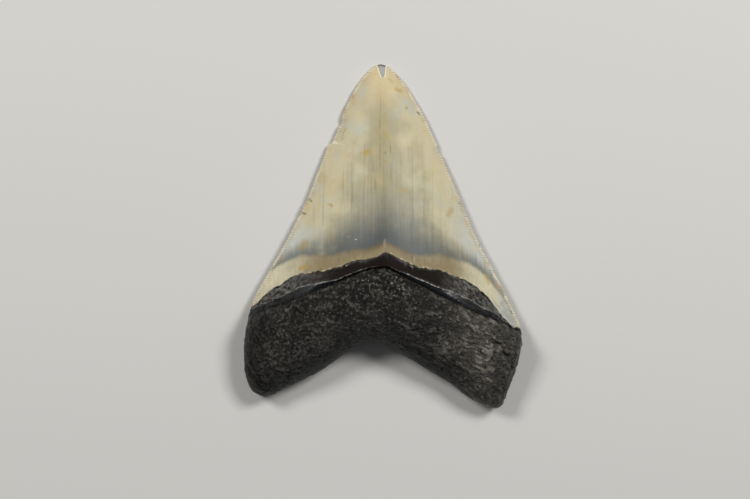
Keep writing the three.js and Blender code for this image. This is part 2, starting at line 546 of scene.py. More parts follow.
@dataclass
class ToothMesh:
    """The tooth's whole surface: two sheets over one outline, closed along it."""

    outline: Outline = field(default_factory=Outline)
    crown: Crown = field(default_factory=Crown)
    root: Root = field(default_factory=Root)
    band: NeckBand = field(default_factory=NeckBand)
    rows: int = 560
    columns: int = 280
    crowded_across: float = 0.7
    crowded_along: float = 0.45
    map_name: str = "OFBake"
    map_margin: float = 0.004
    map_middles: Span = (0.25, 0.75)  # where each face's half of the map has its middle
    rim_round: float = 1.0
    chip_rim: Fade = Fade(0.0, 0.5)
    tip_chip: TipChip = field(default_factory=TipChip)
    chips: tuple[EdgeChip, ...] = (
        EdgeChip(-1, 39.0, 28.4, 0.8),
        EdgeChip(-1, 36.2, 34.3, 0.5, 1.5),
        EdgeChip(-1, 7.2, 6.2, 0.45, 1.6),
        EdgeChip(-1, 11.8, 10.9, 0.4, 1.4),
        EdgeChip(-1, 15.6, 15.0, 0.25, 1.2),
        EdgeChip(1, 27.6, 25.3, 0.55, 1.6),
        EdgeChip(1, 13.6, 13.0, 0.3, 1.2),
        EdgeChip(1, 10.2, 9.5, 0.35, 1.4),
        EdgeChip(1, -4.4, -5.2, 0.35, 1.4),
        EdgeChip(1, -10.6, -11.6, 0.3, 1.4),
    )
    scars: tuple[Scar, ...] = (
        Scar((35.8, -35.3), (38.9, -37.4), 0.4, -0.9),
        Scar((33.2, -31.9), (36.6, -33.8), 0.4, -0.8),
        Scar((29.6, -33.4), (32.6, -34.6), 0.4, -0.6),
        Scar((27.0, -37.6), (30.4, -38.4), 0.35, -0.5),
        Scar((39.1, -38.5), (39.3, -41.5), 0.5, -0.6),
        Scar((12.1, -37.3), (18.6, -39.7), 0.45, 0.45),
        Scar((18.6, -39.7), (22.7, -42.6), 0.5, 0.5),
        Scar((22.7, -42.6), (26.8, -45.0), 0.5, 0.5),
        Scar((26.8, -45.0), (31.5, -49.1), 0.5, 0.5),
        Scar((31.5, -49.1), (35.2, -50.6), 0.5, 0.4),
        Scar((-30.3, -41.2), (-23.9, -39.7), 0.3, 0.4),
        Scar((-32.8, -46.6), (-31.4, -47.8), 0.5, -0.6),
        Scar((-34.4, -28.9), (-33.2, -29.4), 0.8, -0.7),
        Scar((-27.1, -33.0), (-26.4, -33.5), 0.5, -0.6),
        Scar((33.6, -19.5), (36.0, -21.9), 0.28, -0.5),
        Scar((36.6, -46.5), (37.0, -46.9), 0.7, -0.9),
        Scar((34.2, -47.7), (34.8, -48.1), 0.6, -0.8),
        Scar((35.2, -50.5), (35.8, -50.9), 0.8, 0.5),
    )

    def build(self) -> bpy.types.Mesh:
        """The closed mesh, with the measures that its finishes read.

        Returns:
            A mesh in metres with one named attribute for each measure.
        """
        steps_across = np.linspace(0, 1, self.columns + 1)
        steps_along = np.linspace(0, 1, self.rows + 1)
        u = mix(steps_across, (1 - np.cos(np.pi * steps_across)) / 2, self.crowded_across)
        v = mix(steps_along, np.sin(np.pi * steps_along / 2), self.crowded_along)
        x, y = self.outline.sheet(u, v)
        inside = self.outline.depth_in(x, y)
        rim = np.ones(x.shape, bool)
        rim[1:-1, 1:-1] = False
        inside[rim] = 0
        half_width = np.repeat(self.outline.half_width(v)[:, None], len(u), 1)
        across = np.repeat(2 * u[None] - 1, len(v), 0)
        x = self._chipped(x, y, across)
        lingual = self._face(Face.LINGUAL, x, y, inside, half_width, across)
        labial = self._face(Face.LABIAL, x, y, inside, half_width, across)
        return self._sew(lingual, labial, rim)

    def _chipped(self, x: Grid, y: Grid, across: Grid) -> Grid:
        """The places across, after the cutting edges' chips.

        Args:
            x: Places across.
            y: Places along.
            across: -1 on the left edge, 1 on the right one.

        Returns:
            The new places.
        """
        edge = np.minimum(x - x[:, :1], x[:, -1:] - x)
        side = np.sign(across)
        for chip in self.chips:
            x = x - side * chip.shift(side, y, edge)
        return x

    def _face(
        self,
        face: Face,
        x: Grid,
        y: Grid,
        inside: Grid,
        half_width: Grid,
        across: Grid,
    ) -> dict[str, Grid]:
        """One face's heights and measures.

        Args:
            face: Which face.
            x: Places across.
            y: Places along.
            inside: Distance from the outline.
            half_width: Half the tooth's width.
            across: -1 on the left edge, 1 on the right one.

        Returns:
            The grid's values by name; x, y and z are places.
        """
        groove = self.band.groove_at(x)
        thickens = ramp(y, line_at(self.crown.lingual_end, x) + self.root.begins, groove - self.root.full)
        crown = self.crown.height(face, half_width, 1 - across**2, inside)
        z = mix(crown, self.root.height(face, x, y, inside), thickens)
        edge_z = mix(self.crown.edge_height(half_width), self.root.rim(x, y), thickens)
        z = np.where(inside == 0, edge_z, z)
        above = y - self.crown.end_line(face, x)
        rim_fade = rounded(inside, self.rim_round)
        z_step = self.crown.enamel_step * ramp(above, -self.crown.step_run, 0) * rim_fade
        if face is Face.LINGUAL:
            z = z + z_step + self.band.relief(x, y, thickens, inside)
            z = z + sum(scar.relief(x, y) for scar in self.scars) * rim_fade
            z = z + self.tip_chip.relief(x, y) * self.chip_rim.at(inside)
        else:
            z = np.maximum(z - z_step, 0)
        return {
            "x": x,
            "y": y,
            "z": z,
            "above_enamel_end": above,
            "above_groove": y - groove,
            "above_ridge": y - self.band.ridge_at(x),
            "inside": inside,
            "across": across,
            "is_lingual": np.full(x.shape, float(face is Face.LINGUAL)),
        }

    def _sew(self, top: dict[str, Grid], under: dict[str, Grid], rim: Grid) -> bpy.types.Mesh:
        """One closed mesh from the two faces' grids, which share their rim.

        Args:
            top: The lingual face's values by name.
            under: The labial face's values by name.
            rim: Where the grid's outermost points are.

        Returns:
            A mesh in metres that holds the other values as attributes.
        """
        count = rim.size
        top_index = np.arange(count).reshape(rim.shape)
        under_index = top_index.copy()
        inner = ~rim
        under_index[inner] = count + np.arange(inner.sum())
        values = {name: np.concatenate([top[name].ravel(), under[name][inner]]) for name in top}
        places = np.stack([values.pop(k) for k in "xyz"], 1)
        places[:, :2] -= (places[:, :2].min(0) + places[:, :2].max(0)) / 2
        quads, spots = [], []
        for index, order, middle in zip((top_index, under_index), (1, -1), self.map_middles):
            quads.append(self._corners(index, order))
            spots.append(self._map(rim.shape, order, middle))
        quads, spots = np.concatenate(quads), np.concatenate(spots)
        mesh = bpy.data.meshes.new("tooth_surface")
        mesh.vertices.add(len(places))
        mesh.vertices.foreach_set("co", (places * MM).astype(np.float32).ravel())
        mesh.loops.add(quads.size)
        mesh.loops.foreach_set("vertex_index", quads.astype(np.int32).ravel())
        mesh.polygons.add(len(quads))
        mesh.polygons.foreach_set("loop_start", np.arange(0, quads.size, 4, dtype=np.int32))
        mesh.update(calc_edges=True)
        mesh.uv_layers.new(name=self.map_name).uv.foreach_set("vector", spots.astype(np.float32).ravel())
        for name, value in values.items():
            mesh.attributes.new(name, "FLOAT", "POINT").data.foreach_set("value", value.astype(np.float32))
        return mesh

    def _map(self, shape: tuple[int, int], order: int, middle: float) -> Grid:
        """Each quad corner's place on the map, in the face's own half of it.

        Args:
            shape: How many points there are along and across.
            order: 1 for the lingual face, -1 for the labial one, which is seen from below.
            middle: Where the face's half has its middle.

        Returns:
            A u and a v for each corner of each quad.
        """
        along, across = np.meshgrid(*(np.linspace(0, 1, n) - 0.5 for n in shape), indexing="ij")
        u = middle + order * across * (0.5 - 2 * self.map_margin)
        v = 0.5 - along * (1 - 2 * self.map_margin)
        return np.stack([self._corners(u, order), self._corners(v, order)], 2)

    @staticmethod
    def _corners(grid: Grid, order: int) -> Grid:
        """The values at each quad's four corners, one way round or the other."""
        corners = [grid[:-1, :-1], grid[1:, :-1], grid[1:, 1:], grid[:-1, 1:]]
        return np.stack([corner.ravel() for corner in corners[::order]], 1)


# ---- Node trees ----


class NodeWriter:
    """Adds nodes to a tree, so that a pattern reads as sums and mixes of sockets."""

    def __init__(self, tree: bpy.types.NodeTree) -> None:
        """Writes into tree."""
        self.tree = tree

    def add(self, kind: str, inputs: dict | None = None, **settings: object) -> bpy.types.Node:
        """A node with its settings and inputs.

        Args:
            kind: The node's type name.
            inputs: Values or sockets by input name or number.
            **settings: The node's own properties.

        Returns:
            The node.
        """
        node = self.tree.nodes.new(kind)
        for name, value in settings.items():
            setattr(node, name, value)
        for key, value in (inputs or {}).items():
            self.feed(node.inputs[key], value)
        return node

    def feed(self, socket: Socket, value: object) -> None:
        """Links value to the socket if it is a socket, or else sets it.

        Args:
            socket: An input.
            value: A value or a socket.
        """
        if isinstance(value, bpy.types.NodeSocket):
            self.tree.links.new(value, socket)
        else:
            socket.default_value = value

    def math(self, operation: str, a: object, b: object = 0.0, clamp: bool = False) -> Socket:
        """One sum of two values or sockets."""
        return self.add("ShaderNodeMath", {0: a, 1: b}, operation=operation, use_clamp=clamp).outputs[0]

    def product(self, *factors: object) -> Socket | float:
        """The product of values and sockets, or the one factor as it is.

        Args:
            *factors: Values or sockets.

        Returns:
            Their product.
        """
        total = factors[0]
        for factor in factors[1:]:
            total = self.math("MULTIPLY", total, factor)
        return total

    def vector(self, operation: str, a: object, b: object) -> Socket:
        """One sum of two vectors."""
        return self.add("ShaderNodeVectorMath", {0: a, 1: b}, operation=operation).outputs[0]

    def compared(self, operation: str, a: object, b: object) -> Socket:
        """One number from two vectors, such as their distance."""
        return self.add("ShaderNodeVectorMath", {0: a, 1: b}, operation=operation).outputs["Value"]

    def scaled(self, vector: object, scale: object) -> Socket:
        """A vector or a colour, times a number."""
        return self.add("ShaderNodeVectorMath", {0: vector, "Scale": scale}, operation="SCALE").outputs[0]

    def fade(self, value: object, fade: Fade) -> Socket:
        """A fade's share at a value.

        Args:
            value: A value or a socket.
            fade: Its start and where it is full.

        Returns:
            A share socket.
        """
        limits = {"Value": value, "From Min": fade.start, "From Max": fade.full}
        if fade.start > fade.full:
            limits |= {"From Min": fade.full, "From Max": fade.start, "To Min": 1.0, "To Max": 0.0}
        return self.add("ShaderNodeMapRange", limits, interpolation_type="SMOOTHSTEP").outputs[0]

    def number(self, share: object, ends: tuple[object, object]) -> Socket:
        """The number between two ends at a share."""
        return self.add("ShaderNodeMix", {0: share, 2: ends[0], 3: ends[1]}, data_type="FLOAT").outputs[0]

    def shade(self, share: object, a: object, b: object) -> Socket:
        """The colour between a and b at a share."""
        return self.add("ShaderNodeMix", {0: share, 6: a, 7: b}, data_type="RGBA").outputs[2]

    def noise(self, place: object, pattern: Pattern) -> Socket:
        """A pattern's value about NOISE_MIDDLE at a place in millimetres.

        Args:
            place: Where it is read, in millimetres.
            pattern: Size, detail and seed.

        Returns:
            A socket from 0 to 1.
        """
        inputs = {"Vector": place, "W": pattern.seed, "Scale": 1 / pattern.size}
        inputs |= {"Detail": pattern.detail, "Roughness": pattern.rough}
        return self.add("ShaderNodeTexNoise", inputs, noise_dimensions="4D").outputs[0]

    def centred(self, noise: Socket) -> Socket:
        """Noise moved to lie about 0."""
        return self.math("SUBTRACT", noise, NOISE_MIDDLE)

    def bone_run(self, place: object) -> Socket:
        """The place, turned and squashed so that what is drawn there runs as the root's creases do.

        Args:
            place: A place in millimetres.

        Returns:
            The new place.
        """
        inputs = {"Vector": place, "Angle": CREASE_TURN}
        turned = self.add("ShaderNodeVectorRotate", inputs, rotation_type="Z_AXIS").outputs[0]
        return self.vector("MULTIPLY", turned, (CREASE_SQUASH, 1.0, 1.0))


def paint(shade: str) -> tuple[float, float, float, float]:
    """A linear colour from an sRGB hex shade."""
    parts = [int(shade[i : i + 2], 16) / 255 for i in (1, 3, 5)]
    return (*(c / 12.92 if c <= 0.04045 else ((c + 0.055) / 1.055) ** 2.4 for c in parts), 1.0)


# ---- Geometry Nodes ----


class SurfaceTree(NodeWriter):
    """A Geometry Nodes tree that moves a surface's points, with named inputs for its sizes."""

    def __init__(self, name: str, sizes: dict[str, float], material: bpy.types.Material) -> None:
        """An empty tree.

        Args:
            name: The tree's name.
            sizes: Each named input with its value.
            material: What the tree's result wears.
        """
        super().__init__(bpy.data.node_groups.new(name, "GeometryNodeTree"))
        face = self.tree.interface
        face.new_socket("Geometry", in_out="INPUT", socket_type="NodeSocketGeometry")
        self.values = dict(sizes) | {"Material": material}
        for size in sizes:
            face.new_socket(size, in_out="INPUT", socket_type="NodeSocketFloat")
        face.new_socket("Material", in_out="INPUT", socket_type="NodeSocketMaterial")
        face.new_socket("Geometry", in_out="OUTPUT", socket_type="NodeSocketGeometry")
        self.given = self.add("NodeGroupInput").outputs
        self.place = self._millimetres()

    def _millimetres(self) -> Socket:
        """Each point's place in millimetres."""
        return self.scaled(self.add("GeometryNodeInputPosition").outputs[0], 1 / MM)

    def measure(self, name: str) -> Socket:
        """A measure that the mesh holds.

        Args:
            name: Its name.

        Returns:
            Its socket.
        """
        node = self.add("GeometryNodeInputNamedAttribute", data_type="FLOAT")
        node.inputs["Name"].default_value = name
        return node.outputs["Attribute"]

    def seeded_noise(self, size: float, seed: Socket) -> Socket:
        """Noise of a size in millimetres at each point, with its seed from a socket.

        Args:
            size: In millimetres.
            seed: A socket.

        Returns:
            A socket from 0 to 1.
        """
        noise = self.noise(self.place, Pattern(size))
        self.feed(noise.node.inputs["W"], seed)
        return noise

    def along_normal(self, millimetres: object) -> Socket:
        """An offset of this many millimetres outwards."""
        return self.scaled(self.add("GeometryNodeInputNormal").outputs[0], self.product(millimetres, MM))

    def finish(self, offset: object, kept: dict[str, object] | None = None) -> None:
        """Moves the points and closes the tree.

        Args:
            offset: How far each point moves.
            kept: Values to keep on the mesh, by name.
        """
        surface = self.given["Geometry"]
        for name, value in (kept or {}).items():
            node = self.add("GeometryNodeStoreNamedAttribute", {"Geometry": surface}, data_type="FLOAT")
            node.inputs["Name"].default_value = name
            self.feed(node.inputs["Value"], value)
            surface = node.outputs[0]
        moved = self.add("GeometryNodeSetPosition", {"Geometry": surface, "Offset": offset})
        real = self.add("GeometryNodeRealizeInstances", {"Geometry": moved.outputs[0]})
        inputs = {"Geometry": real.outputs[0], "Material": self.given["Material"]}
        worn = self.add("GeometryNodeSetMaterial", inputs)
        self.add("NodeGroupOutput", {"Geometry": worn.outputs[0]})

    def apply(self, piece: bpy.types.Object) -> None:
        """Runs the tree on a piece and keeps the result as its plain mesh.

        Args:
            piece: The object, the only one with its mesh.
        """
        modifier = piece.modifiers.new(self.tree.name, "NODES")
        modifier.node_group = self.tree
        for item in self.tree.interface.items_tree:
            if item.in_out == "INPUT" and item.name in self.values:
                modifier[item.identifier] = self.values[item.name]
        make_plain(piece, modifier)


def make_plain(piece: bpy.types.Object, modifier: bpy.types.Modifier) -> None:
    """Keeps what a modifier makes of a piece as its plain mesh, without the modifier.

    Args:
        piece: The object.
        modifier: Its only modifier.
    """
    graph = bpy.context.evaluated_depsgraph_get()
    made = bpy.data.meshes.new_from_object(piece.evaluated_get(graph), depsgraph=graph)
    piece.modifiers.remove(modifier)
    old, piece.data = piece.data, made
    bpy.data.meshes.remove(old)


@dataclass(frozen=True)
class Serrations:
    """The fine saw teeth along both cutting edges, worn here and there."""

    pitch: float = 0.86
    depth: float = 0.3
    reach: float = 1.2
    flute: float = 0.1
    seed: float = 11.0
    wander_size: float = 5.0
    wear_size: float = 6.0
    wear_seed: float = 3.0  # added to the seed
    wear: Fade = Fade(0.32, 0.62)
    sharpness: float = 1.6
    lean: float = -0.35  # how far a gap leans towards the root as it goes in
    edge_slope: float = 0.45
    above_end: Fade = Fade(0.0, 1.5)
    below_tip: Fade = Fade(52.0, 49.5)

    def tree(self, material: bpy.types.Material) -> SurfaceTree:
        """The tree that cuts them.

        Args:
            material: What the tree's result wears.

        Returns:
            A tree that also keeps how far along its teeth each point is.
        """
        sizes = {"Pitch": self.pitch, "Depth": self.depth, "Reach": self.reach}
        sizes |= {"Flute": self.flute, "Seed": self.seed}
        t = SurfaceTree("serrations", sizes, material)
        wander = t.seeded_noise(self.wander_size, t.given["Seed"])
        turns = t.math("ADD", t.math("DIVIDE", t.measure("run"), t.given["Pitch"]), wander)
        wave = t.math("ABSOLUTE", t.math("SINE", t.product(turns, math.pi)))
        notch = t.math("POWER", t.math("SUBTRACT", 1.0, wave), self.sharpness)
        worn = t.seeded_noise(self.wear_size, t.math("ADD", t.given["Seed"], self.wear_seed))
        strength = t.product(notch, t.fade(worn, self.wear), t.measure("is_serrated"))
        away = t.math("DIVIDE", t.measure("inside"), t.given["Reach"])
        cut = t.product(strength, t.math("SUBTRACT", 1.0, away, clamp=True))
        inwards = t.add("ShaderNodeCombineXYZ", {"X": t.product(t.measure("side"), -1.0), "Y": self.lean})
        sideways = t.scaled(inwards.outputs[0], t.product(cut, t.given["Depth"], MM))
        sunk = t.along_normal(t.product(cut, t.given["Flute"], -1.0))
        t.finish(t.vector("ADD", sideways, sunk), {"turns": turns})
        return t

    def run(self, y: Grid) -> Grid:
        """How far along a cutting edge each place is."""
        return y * math.hypot(1, self.edge_slope)

    def share(self, above_end: Grid, y: Grid) -> Grid:
        """Where the edges have saw teeth: from the enamel's end nearly to the tip."""
        return self.above_end.at(above_end) * self.below_tip.at(y)


@dataclass(frozen=True)
class BoneGrain:
    """The root's rocky skin: waves, creases between lumps, grain and scattered pores."""

    wave_size: float = 6.5
    wave_height: float = 1.2
    lump_size: float = 2.6
    lump_height: float = 2.4
    grain_size: float = 1.15
    grain_height: float = 1.2
    pore_spacing: float = 2.1
    pore_width: float = 0.42
    pore_depth: float = 0.35
    seed: float = 21.0
    lump_seed: float = 3.0  # added to the seed
    grain_seed: float = 5.0
    lump_sharpness: float = 0.7
    lump_base: float = 0.2
    right_lumpy: Fade = Fade(2.0, 26.0)
    left_lumpy: Fade = Fade(-24.0, -35.0)
    least_lumpy: float = 0.5
    layer_detail: float = 2.0
    layer_rough: float = 0.6
    bare: Fade = Fade(0.0, -0.5)
    under_groove: Fade = Fade(-0.2, -1.2)
    rough_neck: Fade = Fade(17.0, 33.0)
    neck_share: float = 0.9
    labial_share: float = 0.6
    rim: Fade = Fade(0.0, 3.5)
    rim_share: float = 0.4

    def tree(self, material: bpy.types.Material) -> SurfaceTree:
        """The tree that raises it.

        Args:
            material: What the tree's result wears.

        Returns:
            A tree that also keeps its heights and its pores.
        """
        sizes = {
            "Wave Size": self.wave_size,
            "Wave Height": self.wave_height,
            "Lump Size": self.lump_size,
            "Lump Height": self.lump_height,
            "Grain Size": self.grain_size,
            "Grain Height": self.grain_height,
            "Pore Spacing": self.pore_spacing,
            "Pore Width": self.pore_width,
            "Pore Depth": self.pore_depth,
            "Seed": self.seed,
        }
        t = SurfaceTree("bone_grain", sizes, material)
        waves = t.product(self._layer(t, t.place, "Wave", 0.0), t.given["Wave Height"])
        ridged = t.math("ABSOLUTE", self._layer(t, t.bone_run(t.place), "Lump", self.lump_seed))
        raised = t.math("SUBTRACT", t.math("POWER", ridged, self.lump_sharpness), self.lump_base)
        lumps = t.product(raised, t.product(t.given["Lump Height"], self._lumpy(t)))
        grain = t.product(self._layer(t, t.place, "Grain", self.grain_seed), t.given["Grain Height"])
        pore = self._pore(t)
        depth = t.product(t.math("SQRT", pore), t.given["Pore Depth"])
        skin = t.math("SUBTRACT", t.math("ADD", t.math("ADD", waves, lumps), grain), depth)
        height = t.product(skin, t.measure("is_bone"))
        t.finish(t.along_normal(height), {"pore": pore, "bone_height": height})
        return t

    def share(self, lingual: Grid, above_end: Grid, above_groove: Grid, inside: Grid, x: Grid) -> Grid:
        """How much of the skin's height each point gets.

        Args:
            lingual: Whether the point is on the lingual face.
            above_end: Distance above the enamel's end.
            above_groove: Distance above the groove at the neck band's foot.
            inside: Distance from the outline.
            x: Places across.

        Returns:
            Shares from 0 to 1.
        """
        bare = self.bare.at(above_end)
        neck = self.neck_share * self.rough_neck.at(np.abs(x))
        below = mix(self.under_groove.at(above_groove), 1.0, neck)
        on_face = np.where(lingual, bare * below, bare * self.labial_share)
        return on_face * mix(self.rim_share, 1.0, self.rim.at(inside))

    def _pore(self, t: SurfaceTree) -> Socket:
        """How deep in a pore each point is, from 0 to 1.

        Args:
            t: The tree.

        Returns:
            A share socket.
        """
        inputs = {"Vector": t.place, "W": t.given["Seed"]}
        inputs |= {"Scale": t.math("DIVIDE", 1.0, t.given["Pore Spacing"])}
        pores = t.add("ShaderNodeTexVoronoi", inputs, voronoi_dimensions="4D")
        away = t.product(pores.outputs["Distance"], t.given["Pore Spacing"])
        return t.math("SUBTRACT", 1.0, t.math("DIVIDE", away, t.given["Pore Width"]), clamp=True)

    def _lumpy(self, t: SurfaceTree) -> Socket:
        """How lumpy the skin is: most of all on the lobes.

        Args:
            t: The tree.

        Returns:
            A share socket.
        """
        x = t.add("ShaderNodeSeparateXYZ", {0: t.place}).outputs["X"]
        lobes = t.math("MAXIMUM", t.fade(x, self.right_lumpy), t.fade(x, self.left_lumpy))
        return t.number(lobes, (self.least_lumpy, 1.0))

    def _layer(self, t: SurfaceTree, place: Socket, name: str, offset: float) -> Socket:
        """One layer of noise, from about -0.5 to 0.5.

        Args:
            t: The tree.
            place: Where the noise is read, in millimetres.
            name: The layer's name, which its size input starts with.
            offset: What is added to the seed.

        Returns:
            Shares of the layer's height.
        """
        inputs = {"Vector": place, "Detail": self.layer_detail, "Roughness": self.layer_rough}
        inputs |= {"Scale": t.math("DIVIDE", 1.0, t.given[f"{name} Size"])}
        inputs |= {"W": t.math("ADD", t.given["Seed"], offset)}
        return t.centred(t.add("ShaderNodeTexNoise", inputs, noise_dimensions="4D").outputs[0])


# ---- Finishes ----


@dataclass(frozen=True)
class Stroke:
    """A line or a spot of colour on the surface, from one place to another."""

    start: tuple[float, float]
    end: tuple[float, float]
    width: float
    strength: float


@dataclass(frozen=True)
class EnamelFinish:
    """Satin enamel: cream at the tip, greyer in the middle and paler at the sides; the paler sides are
    partly the enamel's own tone and partly painted highlight on the flanks.
    """

    tip: str = "#d5c398"
    upper: str = "#aaa07c"
    # side: paler flanks, partly the enamel's own tone and partly painted highlight
    lower: str = "#96917a"
    side: str = "#d3c8a4"
    wing: str = "#c3c6be"
    cool: str = "#bcc2b8"
    warm: str = "#d3b97c"
    roughness: float = 0.48
    begins: Fade = Fade(-0.26, -0.14)
    satin: Drift = Drift(4.0, 0.08, 1)
    height_drift: Drift = Drift(9.0, 4.5, 2)
    tip_from: Fade = Fade(34.0, 50.0)
    lower_from: Fade = Fade(24.0, 2.0)
    side_drift: Drift = Drift(6.0, 0.35, 3)
    side_from: Fade = Fade(0.2, 0.7)
    side_below: Fade = Fade(50.0, 36.0)
    wing_from: Fade = Fade(0.5, 0.85)
    wing_below: Fade = Fade(10.0, -5.0)
    side_share: float = 0.9
    cool_patches: Pattern = Pattern(8.0, 3, seed=30)
    cool_kept: Fade = Fade(0.5, 0.72)
    cool_aside: Fade = Fade(0.15, 0.6)
    cool_share: Span = (0.15, 0.6)
    warm_patches: Pattern = Pattern(6.5, 3, seed=31)
    warm_kept: Fade = Fade(0.52, 0.7)
    warm_share: float = 0.24
    mottle: Drift = Drift(2.6, 0.08, 6)
    fine_mottle: Drift = Drift(0.8, 0.05, 7)
    skin: Drift = Drift(0.6, 0.006, 13)


@dataclass(frozen=True)
class LineFinish:
    """Upright streaks, and the hairline cracks over the middle of the crown."""

    shade: str = "#5f5c50"
    squash: float = 0.025  # how much slower the streaks change along the crown than across it
    streaks: Pattern = Pattern(1.0, 3, 0.6, 8)
    contrast: Span = (0.08, 0.24)
    below: Fade = Fade(36.0, 8.0)
    within: Fade = Fade(27.0, 12.0)
    hair_waver: Drift = Drift(5.0, 0.35, 10)
    hair_breaks: Pattern = Pattern(2.2, seed=9)
    hair_kept: Fade = Fade(0.36, 0.6)
    break_squash: float = 0.35
    fine_lines: Pattern = Pattern(2.6, 2, 0.6, 11)
    fine_width: Fade = Fade(0.02, 0.004)
    fine_share: float = 0.35
    depth: float = 0.03
    hairlines: tuple[Stroke, ...] = (
        Stroke((-0.75, 44.0), (-0.75, 34.0), 0.16, 0.35),
        Stroke((-0.8, 36.0), (-0.95, 20.0), 0.17, 0.65),
        Stroke((2.2, 31.0), (2.5, 15.5), 0.17, 0.65),
        Stroke((-3.3, 28.0), (-3.6, 10.0), 0.15, 0.45),
        Stroke((-5.5, 28.0), (-5.9, 9.0), 0.15, 0.45),
        Stroke((5.5, 29.0), (6.2, 6.0), 0.15, 0.4),
        Stroke((8.7, 27.0), (9.4, 4.0), 0.15, 0.4),
        Stroke((-9.6, 23.0), (-10.0, 9.0), 0.15, 0.3),
    )


@dataclass(frozen=True)
class BandFinish:
    """The blue-grey band along the enamel's lower edge, the tan one under it, and a painted shade down the
    crown's axis.
    """

    blue: str = "#4d524f"
    tan_middle: str = "#6c5c3e"
    tan: str = "#8d7e5c"
    tan_end: str = "#cfc6a8"
    corner_pale: str = "#c3c6be"
    corner_grey: str = "#a9aaa4"
    aside: Fade = Fade(6.0, 30.0)
    tan_top: Span = (3.1, 5.6)
    tan_top_drift: Drift = Drift(4.0, 0.9, 4)
    run_up: float = 3.9  # how far the streaks carry the blue up and down
    blue_height: Span = (14.0, 4.4)
    blue_fade: Fade = Fade(1.12, 0.08)
    blue_share: Span = (1.0, 0.72)
    blue_gaps: Pattern = Pattern(5.0, 2, seed=32)
    blue_kept: Fade = Fade(-0.1, 0.46)
    # a painted shade down the crown's axis, in the band's blue-grey
    axis_painted_shade: Stroke = Stroke((0.3, 17.0), (0.5, -1.5), 1.9, 0.45)
    axis_shade_below: Fade = Fade(17.0, 5.0)
    middle_low: Fade = Fade(3.4, 0.6)
    middle_ends: Fade = Fade(4.0, 15.0)
    end_drift: Drift = Drift(5.0, 4.0, 5)
    end_from: Fade = Fade(19.0, 31.0)
    ticks: Pattern = Pattern(0.5, 2, seed=33)
    tick_squash: float = 0.25
    tick_contrast: float = 0.5
    corner_drift: Drift = Drift(3.5, 3.0, 34)
    corner_from: Fade = Fade(33.0, 37.5)
    marble: Pattern = Pattern(2.6, 3, seed=40)
    marble_kept: Fade = Fade(0.44, 0.6)
    marble_share: float = 0.85
    tan_run_up: float = 0.15
    tan_fade: Fade = Fade(0.9, -0.9)
    tan_share: Span = (1.0, 0.8)


@dataclass(frozen=True)
class MarkFinish:
    """Ochre stains, pale scars and dark nicks on the lingual face."""

    ochre: str = "#ad9338"
    scar: str = "#f0e9d4"
    nick: str = "#6f5f45"
    waver: Drift = Drift(1.1, 0.6, 12)
    stains: tuple[Stroke, ...] = (
        Stroke((-5.2, 25.2), (-4.6, 25.8), 1.35, 0.95),
        Stroke((-7.0, 25.3), (-5.8, 25.3), 0.7, 0.35),
        Stroke((4.3, 45.2), (5.4, 44.7), 0.8, 0.5),
        Stroke((2.0, 48.2), (2.9, 47.6), 0.8, 0.35),
        Stroke((7.2, 39.4), (7.5, 39.3), 0.55, 0.8),
        Stroke((0.2, 23.0), (0.8, 22.6), 0.6, 0.5),
        Stroke((0.5, 31.4), (1.4, 30.4), 1.0, 0.3),
        Stroke((4.6, 14.3), (7.2, 13.5), 0.8, 0.45),
        Stroke((-16.2, 9.5), (-15.7, 9.3), 0.7, 0.6),
        Stroke((-24.8, -3.4), (-23.6, -2.4), 1.7, 0.4),
        Stroke((-25.2, -10.1), (-23.4, -9.5), 0.8, 0.75),
        Stroke((20.2, 6.4), (21.0, 8.0), 1.3, 0.45),
        Stroke((31.6, -12.0), (32.6, -14.6), 0.9, 0.45),
        Stroke((-16.2, 2.0), (-15.8, -0.2), 1.8, 0.22),
        Stroke((-12.3, 31.6), (-11.4, 33.2), 0.35, 0.6),
        Stroke((-12.3, 31.6), (-12.4, 29.6), 0.3, 0.5),
        Stroke((-18.9, 18.6), (-18.2, 17.3), 2.4, 0.25),
    )
    scars: tuple[Stroke, ...] = (
        Stroke((-15.9, 29.1), (-14.2, 28.6), 0.45, 0.9),
        Stroke((-14.4, 28.7), (-12.6, 28.1), 0.4, 0.3),
        Stroke((-13.2, 35.2), (-12.4, 34.7), 0.4, 0.8),
        Stroke((18.0, 26.6), (17.2, 26.3), 0.35, 0.6),
        Stroke((-8.4, -1.2), (-8.1, -1.1), 0.24, 0.6),
        Stroke((-10.6, -0.2), (-10.5, -0.3), 0.2, 0.3),
        Stroke((0.5, -1.4), (0.6, -3.2), 0.5, 0.11),
        Stroke((9.3, -6.8), (9.6, -7.8), 0.4, 0.12),
    )
    nicks: tuple[Stroke, ...] = (
        Stroke((-13.6, 35.9), (-12.7, 35.6), 0.4, 0.8),
        Stroke((-25.1, 7.4), (-23.8, 6.7), 0.4, 0.7),
        Stroke((-23.2, 11.5), (-22.1, 10.7), 0.4, 0.7),
        Stroke((17.6, 26.0), (18.3, 25.5), 0.35, 0.6),
        Stroke((30.2, -2.7), (29.8, -3.0), 0.5, 0.6),
        Stroke((33.3, -7.9), (32.8, -8.5), 0.4, 0.5),
        Stroke((39.3, -23.2), (39.8, -23.9), 0.5, 0.6),
        Stroke((10.9, 38.0), (11.3, 37.6), 0.45, 0.7),
        Stroke((-7.9, 38.9), (-7.8, 38.8), 0.25, 0.6),
        Stroke((0.5, 25.3), (0.6, 25.1), 0.3, 0.6),
        Stroke((12.2, 14.2), (12.3, 14.1), 0.3, 0.5),
    )


